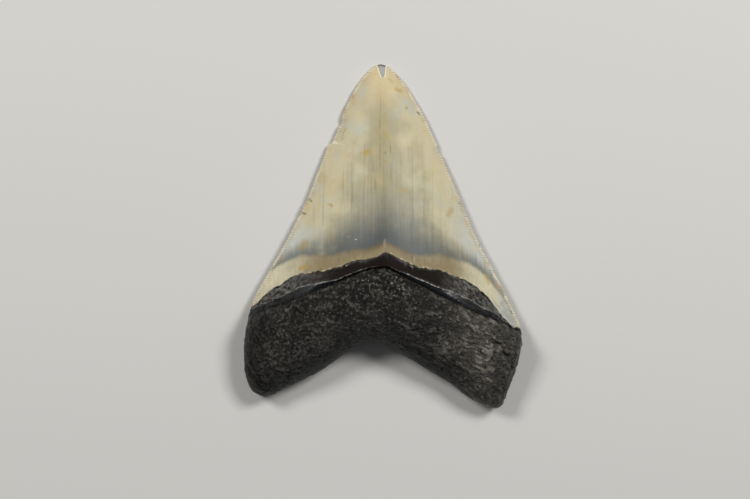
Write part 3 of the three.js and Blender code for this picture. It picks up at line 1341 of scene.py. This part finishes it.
@dataclass(frozen=True)
class EdgeFinish:
    """The pale worn edges: both cutting edges, and the lip where the enamel ends."""

    pale: str = "#ebe0bf"
    rust: str = "#cb9c56"
    gap: str = "#6f5f45"
    patches: Pattern = Pattern(3.5, 3, seed=18)
    rust_reach: Fade = Fade(3.0, 0.3)
    rust_kept: Fade = Fade(0.5, 0.7)
    rust_share: float = 0.5
    pale_drift: Drift = Drift(1.4, 0.5, 20)
    pale_reach: Fade = Fade(1.1, 0.2)
    pale_kept: Fade = Fade(0.72, 0.35)
    long_gaps_below: Fade = Fade(7.0, -1.0)
    gap_drift: Drift = Drift(0.7, 0.5, 35)
    gap_shrink: Span = (1.0, 0.5)
    gap_reach: Fade = Fade(1.0, 0.3)
    gap_width: Fade = Fade(0.45, 0.1)
    gap_patches: Pattern = Pattern(4.0, seed=22)
    gap_kept: Fade = Fade(0.35, 0.6)
    gap_share: Span = (0.75, 0.5)
    lip_reach: Fade = Fade(0.4, 0.05)
    lip_patches: Pattern = Pattern(1.4, 3, seed=19)
    lip_kept: Fade = Fade(0.5, 0.66)
    lip_share: float = 0.55


@dataclass(frozen=True)
class TipChipFinish:
    """The flake scar at the tip: bare grey inside a white border, darker at the very tip."""

    border: str = "#f0e9d4"
    grey: str = "#a9aaa4"
    dark: str = "#55544f"
    foot: Fade = Fade(-0.5, 0.2)
    border_reach: Fade = Fade(0.45, 0.2)
    border_share: float = 0.85
    dark_drift: Drift = Drift(0.8, 0.8, 36)
    dark_from: Fade = Fade(2.9, 3.7)
    dark_share: float = 0.8
    grey_reach: Fade = Fade(0.12, -0.12)


@dataclass(frozen=True)
class NeckFinish:
    """The dark neck band: smooth black, with a painted highlight along its ridge, a blue-grey strip under
    it that is painted reflection, and a painted shadow in the groove.
    """

    band: str = "#170f0a"
    rough_end: str = "#85827b"
    # ridge: painted highlight along the ridge's crest, broken into painted glints
    ridge: str = "#8f8d88"
    # strip: painted blue-grey reflection on the slope under the ridge
    strip: str = "#17181a"
    # groove: painted shadow in the groove at the band's foot
    groove: str = "#060505"
    roughness: float = 0.27
    end_roughness: float = 0.4
    lip_roughness: float = 0.6
    rough_from: Fade = Fade(17.0, 33.0)
    under_lip: Fade = Fade(-0.85, -0.4)
    relief_share: float = 0.015
    begins: Fade = Fade(-0.5, -0.1)
    worn_from: Fade = Fade(15.0, 32.0)
    worn_patches: Pattern = Pattern(1.3, 4, 0.65, 14)
    worn_kept: Fade = Fade(0.42, 0.62)
    strip_from: Fade = Fade(0.1, -0.25)
    ridge_glints: Pattern = Pattern(0.9, 3, seed=15)
    ridge_glints_kept: Fade = Fade(0.4, 0.66)
    ridge_width: Fade = Fade(0.32, 0.06)
    ridge_from: Fade = Fade(1.0, 9.0)
    groove_under: float = 0.15
    groove_width: Fade = Fade(0.6, 0.15)


@dataclass(frozen=True)
class RootFinish:
    """The root: dark brown-black bone with pale grains and darker pores, worn lighter on the lobes; its
    colour also holds painted light and shade: sheen on the lobes, highlights on raised relief, glints among
    specks, and shade in pits and pores and towards the outline.
    """

    dark: str = "#110e0b"
    mid: str = "#24201a"
    # worn: lighter on the lobes, partly wear and partly painted sheen
    worn: str = "#4d4942"
    # light: on the raised relief, partly wear and partly painted highlight
    light: str = "#979186"
    # grain: pale grains on the raised fine relief, partly painted highlight
    grain: str = "#9b968a"
    # pale specks: partly mineral specks, partly painted glints
    speck_and_glint: str = "#d4d1c6"
    # pore: painted shade in the pits and pores
    pore: str = "#050404"
    roughness: float = 0.34
    lobe_roughness: float = 0.3
    lobe_smooth_from: Fade = Fade(14.0, 32.0)
    patches: Pattern = Pattern(5.0, 3, seed=16)
    mid_kept: Fade = Fade(0.38, 0.62)
    fine: Pattern = Pattern(0.85, 3, 0.7, 17)
    drawn_out: Pattern = Pattern(1.25, 3, 0.65, 23)
    drawn_out_from: Fade = Fade(0.0, 25.0)
    drawn_out_share: float = 0.5
    right_drift: Drift = Drift(7.0, 6.0, 24)
    right_from: Fade = Fade(12.0, 32.0)
    left_drift: Drift = Drift(5.0, 4.0, 26)
    left_from: Fade = Fade(-25.0, -36.0)
    left_share: float = 0.5
    worn_share: float = 0.9
    high_kept: Fade = Fade(-0.1, 0.3)
    high_share: Span = (0.25, 0.55)
    grain_kept: Fade = Fade(0.52, 0.66)
    grain_share: Span = (0.5, 1.0)
    speckled: Stroke = Stroke((-4.0, -14.0), (6.0, -15.0), 6.5, 1.0)
    specks: Pattern = Pattern(0.85, 2, seed=25)
    speck_kept: Fade = Fade(0.63, 0.74)
    speck_share: Span = (0.1, 0.85)
    pit_shade_kept: Fade = Fade(0.47, 0.34)
    # painted light and shade: the root darkens towards its outline and is lighter on the right lobe
    rim_fade: Fade = Fade(1.0, 12.0)
    painted_shade_gain: float = 0.8
    painted_shade_floor: Span = (0.14, 0.6)
    relief: Span = (2.0, 3.6)


@dataclass(frozen=True)
class ToothFinish:
    """All the finishes that the tooth wears."""

    enamel: EnamelFinish = EnamelFinish()
    lines: LineFinish = LineFinish()
    bands: BandFinish = BandFinish()
    marks: MarkFinish = MarkFinish()
    edge: EdgeFinish = EdgeFinish()
    tip_chip: TipChipFinish = TipChipFinish()
    neck: NeckFinish = NeckFinish()
    root: RootFinish = RootFinish()
    specular: float = 0.45
    ior: float = 1.5


class StrokeGroup:
    """A node group that gives a stroke's share at a place."""

    reach: Fade = Fade(1.1, 0.15)
    inputs: tuple[tuple[str, str], ...] = (
        ("Place", "Vector"),
        ("Start", "Vector"),
        ("Run", "Vector"),
        ("Run Squared", "Float"),
        ("Width", "Float"),
        ("Strength", "Float"),
    )

    def __init__(self) -> None:
        """Writes the group once."""
        self.tree = bpy.data.node_groups.new("stroke", "ShaderNodeTree")
        face = self.tree.interface
        for name, kind in self.inputs:
            face.new_socket(name, in_out="INPUT", socket_type=f"NodeSocket{kind}")
        face.new_socket("Share", in_out="OUTPUT", socket_type="NodeSocketFloat")
        w = NodeWriter(self.tree)
        given = w.add("NodeGroupInput").outputs
        off = w.vector("SUBTRACT", given["Place"], given["Start"])
        dot = w.compared("DOT_PRODUCT", off, given["Run"])
        along = w.math("MAXIMUM", w.math("MINIMUM", w.math("DIVIDE", dot, given["Run Squared"]), 1.0), 0.0)
        away = w.compared("DISTANCE", off, w.scaled(given["Run"], along))
        inked = w.product(w.fade(w.math("DIVIDE", away, given["Width"]), self.reach), given["Strength"])
        w.add("NodeGroupOutput", {0: inked})


class ToothMaterial(NodeWriter):
    """The tooth's one material, which turns from finish to finish by the mesh's own measures."""

    def __init__(self, finish: ToothFinish, chip: TipChip) -> None:
        """Keeps the finishes and makes an empty material.

        Args:
            finish: The finishes.
            chip: Where the tip's chip lies.
        """
        self.finish, self.chip = finish, chip
        self.material = bpy.data.materials.new("fossil_tooth")
        self.material.use_nodes = True
        super().__init__(self.material.node_tree)
        self.tree.nodes.clear()
        self.strokes = StrokeGroup()
        self.place = self.scaled(self.add("ShaderNodeTexCoord").outputs["Object"], 1 / MM)
        split = self.add("ShaderNodeSeparateXYZ", {0: self.place}).outputs
        self.x, self.y = split["X"], split["Y"]
        self.off_axis = self.math("ABSOLUTE", self.x)
        self.flat_place = self.vector("MULTIPLY", self.place, (1, 1, 0))
        self.lingual = self.fade(self.measure("is_lingual"), FACE_SPLIT)

    def measure(self, name: str) -> Socket:
        """A measure that the mesh holds."""
        settings = {"attribute_name": name, "attribute_type": "GEOMETRY"}
        return self.add("ShaderNodeAttribute", **settings).outputs["Fac"]

    def drift(self, drift: Drift) -> Socket:
        """Noise about 0, up to the drift's amount either way."""
        return self.product(self.centred(self.noise(self.place, drift.pattern())), 2 * drift.amount)

    def drifting(self, value: object, drift: Drift) -> Socket:
        """The value, shifted by noise so that what follows it gets uneven outlines."""
        return self.math("ADD", value, self.drift(drift))

    def wavering(self, drift: Drift) -> Socket:
        """The place on the face, shifted by noise on both axes.

        Args:
            drift: The noise's size, amount and seed.

        Returns:
            A place with z 0.
        """
        inputs = {"Vector": self.place, "Scale": 1 / drift.size, "W": drift.seed}
        noise = self.add("ShaderNodeTexNoise", inputs, noise_dimensions="4D").outputs["Color"]
        reach, back = (2 * drift.amount, 2 * drift.amount, 0.0), (-drift.amount, -drift.amount, 0.0)
        shift = self.add("ShaderNodeVectorMath", {0: noise, 1: reach, 2: back}, operation="MULTIPLY_ADD")
        return self.vector("ADD", self.flat_place, shift.outputs[0])

    def upright(self, pattern: Pattern, squash: float) -> Socket:
        """Noise drawn out along the crown."""
        return self.noise(self.vector("MULTIPLY", self.place, (1.0, squash, squash)), pattern)

    def coat(self, colour: object, shade: str, *shares: object) -> Socket:
        """The colour under a coat of a shade, as strong as the product of the shares."""
        return self.shade(self.product(*shares), colour, paint(shade))

    def tinted(self, colour: object, *changes: object) -> Socket:
        """The colour, lighter or darker by shares that are added to 1.

        Args:
            colour: The colour.
            *changes: Shares about 0.

        Returns:
            A colour socket.
        """
        amount = changes[0]
        for change in changes[1:]:
            amount = self.math("ADD", amount, change)
        return self.scaled(colour, self.math("ADD", amount, 1.0))

    def drawn(self, strokes: tuple[Stroke, ...], place: object) -> Socket:
        """Where any of the strokes lies.

        Args:
            strokes: The strokes.
            place: The place on the face.

        Returns:
            A share socket.
        """
        total = None
        for stroke in strokes:
            run = (stroke.end[0] - stroke.start[0], stroke.end[1] - stroke.start[1], 0.0)
            inputs = {
                "Place": place,
                "Start": (*stroke.start, 0.0),
                "Run": run,
                "Run Squared": run[0] ** 2 + run[1] ** 2,
                "Width": stroke.width,
                "Strength": stroke.strength,
            }
            node = self.add("ShaderNodeGroup", node_tree=self.strokes.tree)
            for name, value in inputs.items():
                self.feed(node.inputs[name], value)
            total = node.outputs[0] if total is None else self.math("MAXIMUM", total, node.outputs[0])
        return total

    def on_top(self, strokes: tuple[Stroke, ...], place: object) -> Socket:
        """Where any of the strokes lies on the lingual face."""
        return self.product(self.drawn(strokes, place), self.lingual)

    def build(self) -> bpy.types.Material:
        """Writes the nodes.

        Returns:
            The material.
        """
        e, n, r = self.finish.enamel, self.finish.neck, self.finish.root
        above = self.measure("above_enamel_end")
        is_enamel = self.fade(above, e.begins)
        enamel, enamel_relief = self._enamel(above)
        root, grain = self._root()
        neck, is_neck = self._neck()
        is_neck = self.product(is_neck, self.lingual)
        colour = self.shade(is_enamel, self.shade(is_neck, root, neck), enamel)
        satin = self.math("ADD", e.roughness, self.drift(e.satin))
        ends = self.fade(self.off_axis, n.rough_from)
        neck_rough = self.number(ends, (n.roughness, n.end_roughness))
        neck_rough = self.number(self.fade(above, n.under_lip), (neck_rough, n.lip_roughness))
        bone_rough = self.number(self.fade(self.x, r.lobe_smooth_from), (r.roughness, r.lobe_roughness))
        rough = self.number(is_enamel, (self.number(is_neck, (bone_rough, neck_rough)), satin))
        smooth_neck = self.product(is_neck, self.math("SUBTRACT", 1.0, ends))
        relief = self.number(smooth_neck, (grain, self.product(grain, n.relief_share)))
        relief = self.number(is_enamel, (relief, enamel_relief))
        bump = self.add("ShaderNodeBump", {"Height": relief, "Strength": 1.0, "Distance": MM}).outputs[0]
        inputs = {"Base Color": colour, "Roughness": rough, "Normal": bump}
        inputs |= {"IOR": self.finish.ior, "Specular IOR Level": self.finish.specular}
        shader = self.add("ShaderNodeBsdfPrincipled", inputs)
        self.add("ShaderNodeOutputMaterial", {"Surface": shader.outputs[0]})
        return self.material

    def _enamel(self, above: Socket) -> tuple[Socket, Socket]:
        """The enamel's colour and its fine relief.

        Args:
            above: Distance above the enamel's lower edge.

        Returns:
            A colour socket and a height socket in millimetres.
        """
        e, m = self.finish.enamel, self.finish.marks
        streaks = self.upright(self.finish.lines.streaks, self.finish.lines.squash)
        colour = self._bands(self._enamel_body(), above, streaks)
        colour, hairs = self._lines(colour, streaks)
        spotty = self.wavering(m.waver)
        colour = self.coat(colour, m.ochre, self.on_top(m.stains, spotty))
        colour = self._edge(colour)
        colour = self.coat(colour, m.nick, self.on_top(m.nicks, spotty))
        colour = self.coat(colour, m.scar, self.on_top(m.scars, spotty))
        colour = self._lip(self._tip_chip(colour), above)
        cracks = self.product(hairs, -self.finish.lines.depth)
        return colour, self.drifting(cracks, e.skin)

    def _enamel_body(self) -> Socket:
        """The enamel's broad shades, from the tip down and from the axis out.

        Returns:
            A colour socket.
        """
        e = self.finish.enamel
        height = self.drifting(self.y, e.height_drift)
        aside = self.drifting(self.math("ABSOLUTE", self.measure("across")), e.side_drift)
        colour = self.shade(self.fade(height, e.tip_from), paint(e.upper), paint(e.tip))
        colour = self.coat(colour, e.lower, self.fade(height, e.lower_from))
        # the side shade lightens the flanks: partly the enamel's own tone, partly painted highlight
        for shade, out, down in ((e.side, e.side_from, e.side_below), (e.wing, e.wing_from, e.wing_below)):
            colour = self.coat(colour, shade, self.fade(aside, out), self.fade(height, down), e.side_share)
        cool = self.fade(self.noise(self.place, e.cool_patches), e.cool_kept)
        colour = self.coat(colour, e.cool, cool, self.number(self.fade(aside, e.cool_aside), e.cool_share))
        warm = self.fade(self.noise(self.place, e.warm_patches), e.warm_kept)
        return self.coat(colour, e.warm, warm, e.warm_share)

    def _bands(self, colour: Socket, above: Socket, streaks: Socket) -> Socket:
        """The blue-grey and the tan band along the enamel's lower edge, and a painted shade down the axis.

        Args:
            colour: The enamel's colour over them.
            above: Distance above the enamel's lower edge.
            streaks: Upright streaks, which the bands run up into.

        Returns:
            The colour with both bands.
        """
        b = self.finish.bands
        aside = self.fade(self.off_axis, b.aside)
        run_up = self.product(self.centred(streaks), b.run_up)
        above_wavy = self.drifting(above, b.tan_top_drift)
        over_tan = self.math("SUBTRACT", above_wavy, self.number(aside, b.tan_top))
        high = self.math("DIVIDE", self.math("ADD", over_tan, run_up), self.number(aside, b.blue_height))
        kept = self.fade(self.noise(self.place, b.blue_gaps), b.blue_kept)
        blue = self.product(self.fade(high, b.blue_fade), self.number(aside, b.blue_share), kept)
        # painted shade: a blue-grey stroke down the axis, fading out towards the tip
        axis_shade = self.on_top((b.axis_painted_shade,), self.flat_place)
        axis_shade = self.product(axis_shade, self.fade(self.y, b.axis_shade_below))
        colour = self.coat(colour, b.blue, self.math("MAXIMUM", blue, axis_shade))
        corner = self.fade(self.drifting(self.x, b.corner_drift), b.corner_from)
        low_edge = self.fade(self.math("ADD", over_tan, self.product(run_up, b.tan_run_up)), b.tan_fade)
        low_edge = self.product(low_edge, self.number(corner, b.tan_share))
        return self.shade(low_edge, colour, self._tan(above, corner))

    def _tan(self, above: Socket, corner: Socket) -> Socket:
        """The tan band's colour: browner in the middle, paler at its ends, marbled at the right corner.

        Args:
            above: Distance above the enamel's lower edge.
            corner: How far into the right corner it is.

        Returns:
            A colour socket.
        """
        b = self.finish.bands
        tan = self.shade(self.fade(above, b.middle_low), paint(b.tan_middle), paint(b.tan))
        tan = self.coat(tan, b.tan, self.fade(self.off_axis, b.middle_ends))
        tan = self.coat(tan, b.tan_end, self.fade(self.drifting(self.off_axis, b.end_drift), b.end_from))
        ticks = self.centred(self.upright(b.ticks, b.tick_squash))
        tan = self.tinted(tan, self.product(ticks, b.tick_contrast))
        marble = self.fade(self.noise(self.place, b.marble), b.marble_kept)
        marbled = self.shade(marble, paint(b.corner_pale), paint(b.corner_grey))
        return self.shade(self.product(corner, b.marble_share), tan, marbled)

    def _lines(self, colour: Socket, streaks: Socket) -> tuple[Socket, Socket]:
        """The streaks, the mottling and the hairline cracks.

        Args:
            colour: The enamel's colour under them.
            streaks: The upright streaks.

        Returns:
            The colour with them, and where the cracks are.
        """
        f, e = self.finish.lines, self.finish.enamel
        low = self.product(self.fade(self.y, f.below), self.fade(self.off_axis, f.within))
        colour = self.tinted(colour, self.product(self.centred(streaks), self.number(low, f.contrast)))
        colour = self.tinted(colour, self.drift(e.mottle), self.drift(e.fine_mottle))
        broken = self.fade(self.upright(f.hair_breaks, f.break_squash), f.hair_kept)
        hairs = self.product(self.drawn(f.hairlines, self.wavering(f.hair_waver)), broken)
        fine = self.math("ABSOLUTE", self.centred(self.upright(f.fine_lines, f.squash)))
        fine = self.product(self.fade(fine, f.fine_width), low, f.fine_share)
        hairs = self.product(self.math("MAXIMUM", hairs, fine), self.lingual)
        return self.coat(colour, f.shade, hairs), hairs

    def _edge(self, colour: Socket) -> Socket:
        """The pale worn cutting edges, with rust beside them and dark gaps between their saw teeth.

        Args:
            colour: The colour under it.

        Returns:
            A colour socket.
        """
        f = self.finish.edge
        inside = self.measure("inside")
        patches = self.noise(self.place, f.patches)
        rusty = self.fade(patches, f.rust_kept)
        colour = self.coat(colour, f.rust, self.fade(inside, f.rust_reach), rusty, f.rust_share)
        near = self.fade(self.drifting(inside, f.pale_drift), f.pale_reach)
        colour = self.coat(colour, f.pale, near, self.fade(patches, f.pale_kept))
        low = self.fade(self.y, f.long_gaps_below)
        reach = self.product(self.drifting(inside, f.gap_drift), self.number(low, f.gap_shrink))
        kept = self.math("MAXIMUM", low, self.fade(self.noise(self.place, f.gap_patches), f.gap_kept))
        wave = self.math("ABSOLUTE", self.math("SINE", self.product(self.measure("turns"), math.pi)))
        gap = self.product(self.fade(wave, f.gap_width), self.fade(reach, f.gap_reach), kept)
        return self.coat(colour, f.gap, gap, self.number(low, f.gap_share))

    def _lip(self, colour: Socket, above: Socket) -> Socket:
        """The pale lip where the enamel ends.

        Args:
            colour: The colour under it.
            above: Distance above the enamel's lower edge.

        Returns:
            A colour socket.
        """
        f = self.finish.edge
        kept = self.fade(self.noise(self.place, f.lip_patches), f.lip_kept)
        return self.coat(colour, f.pale, self.fade(above, f.lip_reach), kept, f.lip_share)

    def _tip_chip(self, colour: Socket) -> Socket:
        """The grey scar at the tip, inside a white border.

        Args:
            colour: The colour under it.

        Returns:
            A colour socket.
        """
        c, f = self.chip, self.finish.tip_chip
        up = self.math("SUBTRACT", self.y, c.foot_y)
        middle = self.math("ADD", self.product(up, c.lean), c.foot_x)
        aside = self.math("ABSOLUTE", self.math("SUBTRACT", self.x, middle))
        away = self.math("SUBTRACT", aside, self.math("ADD", self.product(up, c.spread), c.foot_half))
        started = self.product(self.fade(up, f.foot), self.lingual)
        colour = self.coat(colour, f.border, self.fade(away, f.border_reach), started, f.border_share)
        dark = self.product(self.fade(self.drifting(up, f.dark_drift), f.dark_from), f.dark_share)
        grey = self.shade(dark, paint(f.grey), paint(f.dark))
        return self.shade(self.product(self.fade(away, f.grey_reach), started), colour, grey)

    def _neck(self) -> tuple[Socket, Socket]:
        """The neck band's colour and where it lies.

        Returns:
            A colour socket and a share socket.
        """
        n = self.finish.neck
        over_groove, over_ridge = self.measure("above_groove"), self.measure("above_ridge")
        patchy = self.fade(self.noise(self.place, n.worn_patches), n.worn_kept)
        worn = self.product(self.fade(self.off_axis, n.worn_from), patchy)
        colour = self.shade(worn, paint(n.band), paint(n.rough_end))
        # painted reflection: a blue-grey tint on the strip under the ridge
        colour = self.coat(colour, n.strip, self.fade(over_ridge, n.strip_from))
        # painted highlight: glints along the ridge's crest, fading out near the axis
        ridge_glints = self.fade(self.noise(self.place, n.ridge_glints), n.ridge_glints_kept)
        crest = self.fade(self.math("ABSOLUTE", over_ridge), n.ridge_width)
        colour = self.coat(colour, n.ridge, crest, ridge_glints, self.fade(self.off_axis, n.ridge_from))
        # painted shadow along the groove
        off_groove = self.math("ABSOLUTE", self.math("ADD", over_groove, n.groove_under))
        colour = self.coat(colour, n.groove, self.fade(off_groove, n.groove_width))
        return colour, self.fade(over_groove, n.begins)

    def _root(self) -> tuple[Socket, Socket]:
        """The root's colour, painted light and shade included, and the height of its finest grain.

        Returns:
            A colour socket and a height socket in millimetres.
        """
        r = self.finish.root
        patches = self.fade(self.noise(self.place, r.patches), r.mid_kept)
        colour = self.shade(patches, paint(r.dark), paint(r.mid))
        fine = self.noise(self.place, r.fine)
        drawn_out = self.noise(self.bone_run(self.place), r.drawn_out)
        mixed = self.number(r.drawn_out_share, (fine, drawn_out))
        grain = self.number(self.fade(self.x, r.drawn_out_from), (fine, mixed))
        right = self.fade(self.drifting(self.x, r.right_drift), r.right_from)
        left = self.product(self.fade(self.drifting(self.x, r.left_drift), r.left_from), r.left_share)
        lobes = self.math("MAXIMUM", right, left)
        high = self.fade(self.math("ADD", self.measure("bone_height"), self.centred(grain)), r.high_kept)
        # lobes lighter: partly wear, partly painted sheen
        colour = self.coat(colour, r.worn, lobes, r.worn_share)
        # raised relief lighter: partly wear, partly painted highlight
        colour = self.coat(colour, r.light, high, self.number(lobes, r.high_share))
        # pale where the fine relief is raised: pale grains and painted highlight
        pale = self.fade(grain, r.grain_kept)
        colour = self.coat(colour, r.grain, pale, self.number(lobes, r.grain_share))
        # pale specks, most of all near the neck: partly mineral specks, partly painted glints
        near_neck = self.drawn((r.speckled,), self.flat_place)
        specks = self.fade(self.noise(self.place, r.specks), r.speck_kept)
        colour = self.coat(colour, r.speck_and_glint, specks, self.number(near_neck, r.speck_share))
        # painted shade in the low spots of the fine relief and in the pores
        colour = self.coat(colour, r.pore, self.fade(grain, r.pit_shade_kept))
        colour = self.coat(colour, r.pore, self.measure("pore"))
        # painted light and shade: darker towards the outline, lighter on the right lobe
        inner = self.product(self.fade(self.measure("inside"), r.rim_fade), r.painted_shade_gain)
        painted_shade = self.math("ADD", inner, self.number(right, r.painted_shade_floor))
        return self.scaled(colour, painted_shade), self.product(grain, self.number(lobes, r.relief))


# ---- The tooth ----


@dataclass
class Tooth:
    """The whole tooth: its mesh, its relief, its finish and its place in the frame."""

    shape: ToothMesh = field(default_factory=ToothMesh)
    serrations: Serrations = field(default_factory=Serrations)
    grain: BoneGrain = field(default_factory=BoneGrain)
    finish: ToothFinish = field(default_factory=ToothFinish)
    most_triangles: int = 190_000
    crease: float = math.radians(50)

    def build(self) -> bpy.types.Object:
        """Makes the tooth and ties it to the frame.

        Returns:
            The finished piece.
        """
        material = ToothMaterial(self.finish, self.shape.tip_chip).build()
        piece = bpy.data.objects.new("fossil_tooth", self.shape.build())
        bpy.context.scene.collection.objects.link(piece)
        self._measure(piece.data)
        self.serrations.tree(material).apply(piece)
        self.grain.tree(material).apply(piece)
        self._lay_flat(piece.data)
        self._thin_out(piece)
        self._lay_flat(piece.data)
        piece.data.shade_smooth()
        piece.data.set_sharp_from_angle(angle=self.crease)
        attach(piece, BODY)
        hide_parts(NODE)
        log.info("%s: %d triangles", piece.name, len(piece.data.loop_triangles))
        return piece

    def _measure(self, mesh: bpy.types.Mesh) -> None:
        """Adds the measures that the node trees read.

        Args:
            mesh: The piece's mesh.
        """
        x, y = (self._places(mesh)[:, :2] / MM).T
        above, groove = self._values(mesh, "above_enamel_end"), self._values(mesh, "above_groove")
        lingual = self._values(mesh, "is_lingual") > FACE_MIDDLE
        bone = self.grain.share(lingual, above, groove, self._values(mesh, "inside"), x)
        self._keep(mesh, "run", self.serrations.run(y))
        self._keep(mesh, "side", np.sign(self._values(mesh, "across")))
        self._keep(mesh, "is_serrated", self.serrations.share(above, y))
        self._keep(mesh, "is_bone", bone)

    @staticmethod
    def _places(mesh: bpy.types.Mesh) -> Grid:
        """The points' places in metres, one row for each.

        Args:
            mesh: The piece's mesh.

        Returns:
            An array with x, y and z across.
        """
        places = np.empty(len(mesh.vertices) * 3, np.float32)
        mesh.vertices.foreach_get("co", places)
        return places.reshape(-1, 3)

    @staticmethod
    def _values(mesh: bpy.types.Mesh, name: str) -> Grid:
        """A measure that the mesh holds, for each point.

        Args:
            mesh: The piece's mesh.
            name: The measure's name.

        Returns:
            An array.
        """
        found = np.empty(len(mesh.vertices), np.float32)
        mesh.attributes[name].data.foreach_get("value", found)
        return found

    @staticmethod
    def _keep(mesh: bpy.types.Mesh, name: str, values: Grid) -> None:
        """Stores a measure on the mesh."""
        mesh.attributes.new(name, "FLOAT", "POINT").data.foreach_set("value", values.astype(np.float32))

    def _thin_out(self, piece: bpy.types.Object) -> None:
        """Collapses the flattest edges until the piece is within its triangles.

        Args:
            piece: The tooth.
        """
        piece.data.calc_loop_triangles()
        modifier = piece.modifiers.new("thin_out", "DECIMATE")
        modifier.ratio = self.most_triangles / len(piece.data.loop_triangles)
        make_plain(piece, modifier)
        piece.data.calc_loop_triangles()

    def _lay_flat(self, mesh: bpy.types.Mesh) -> None:
        """Keeps the resting face on the floor and not through it.

        Args:
            mesh: The piece's mesh.
        """
        places = self._places(mesh)
        places[:, 2] = np.maximum(places[:, 2], 0)
        mesh.vertices.foreach_set("co", places.ravel())
        mesh.update()


# ---- The studio ----


@dataclass(frozen=True)
class SoftLight:
    """A large soft lamp, aimed at the tooth."""

    name: str
    place: tuple[float, float, float]
    size: float
    watts: float

    def build(self) -> bpy.types.Object:
        """The lamp.

        Returns:
            Its object.
        """
        lamp = bpy.data.lights.new(self.name, "AREA")
        lamp.shape, lamp.size, lamp.energy = "SQUARE", self.size * MM, self.watts
        holder = bpy.data.objects.new(self.name, lamp)
        holder.location = Vector(self.place) * MM
        holder.rotation_euler = (-Vector(self.place)).to_track_quat("-Z", "Y").to_euler()
        bpy.context.scene.collection.objects.link(holder)
        return holder


@dataclass(frozen=True)
class Studio:
    """A pale floor, soft light and a camera straight over the tooth."""

    floor_side: float = 3000.0
    floor_shade: str = "#d9d7d2"
    floor_roughness: float = 0.8
    sky: str = "#c9ccd0"
    sky_strength: float = 0.14
    camera_place: tuple[float, float, float] = (-2.4, -4.2, 646.0)
    lens: float = 100.0
    sensor: float = 36.0
    sees_from: float = 10.0
    sees_to: float = 20_000.0
    lights: tuple[SoftLight, ...] = (
        SoftLight("key_light", (480, 340, 700), 260, 4.9),
        SoftLight("fill_light", (-500, 340, 680), 260, 3.9),
    )

    def build(self) -> None:
        """Makes the floor, the sky, the lights and the camera."""
        floor = self._floor()
        bpy.context.scene.world = self._world()
        bpy.context.scene.view_settings.view_transform = "Standard"
        for light in self.lights:
            light.build()
        bpy.context.scene.camera = self._camera()
        log.info("studio: %d lights", len(self.lights))

    def _floor(self) -> bpy.types.Object:
        """The plain pale floor.

        Returns:
            Its object.
        """
        side = self.floor_side * MM / 2
        mesh = bpy.data.meshes.new("floor")
        corners = [(-side, -side, 0), (side, -side, 0), (side, side, 0), (-side, side, 0)]
        mesh.from_pydata(corners, [], [(0, 1, 2, 3)])
        pale = bpy.data.materials.new("pale_floor")
        pale.use_nodes = True
        inputs = pale.node_tree.nodes["Principled BSDF"].inputs
        inputs["Base Color"].default_value = paint(self.floor_shade)
        inputs["Roughness"].default_value = self.floor_roughness
        mesh.materials.append(pale)
        floor = bpy.data.objects.new("floor", mesh)
        bpy.context.scene.collection.objects.link(floor)
        return floor

    def _world(self) -> bpy.types.World:
        """The even sky.

        Returns:
            The world that the scene takes.
        """
        world = bpy.data.worlds.new("studio")
        world.use_nodes = True
        inputs = world.node_tree.nodes["Background"].inputs
        inputs["Color"].default_value, inputs["Strength"].default_value = paint(self.sky), self.sky_strength
        return world

    def _camera(self) -> bpy.types.Object:
        """The camera, which looks straight down.

        Returns:
            Its object.
        """
        camera = bpy.data.cameras.new("camera")
        camera.lens, camera.sensor_width = self.lens, self.sensor
        camera.clip_start, camera.clip_end = self.sees_from * MM, self.sees_to * MM
        holder = bpy.data.objects.new("camera", camera)
        holder.location = Vector(self.camera_place) * MM
        bpy.context.scene.collection.objects.link(holder)
        return holder


def main() -> None:
    """Builds the studio and the tooth."""
    logging.basicConfig(level=logging.INFO, format="%(name)s: %(message)s")
    Studio().build()
    Tooth().build()


if __name__ == "__main__":
    main()
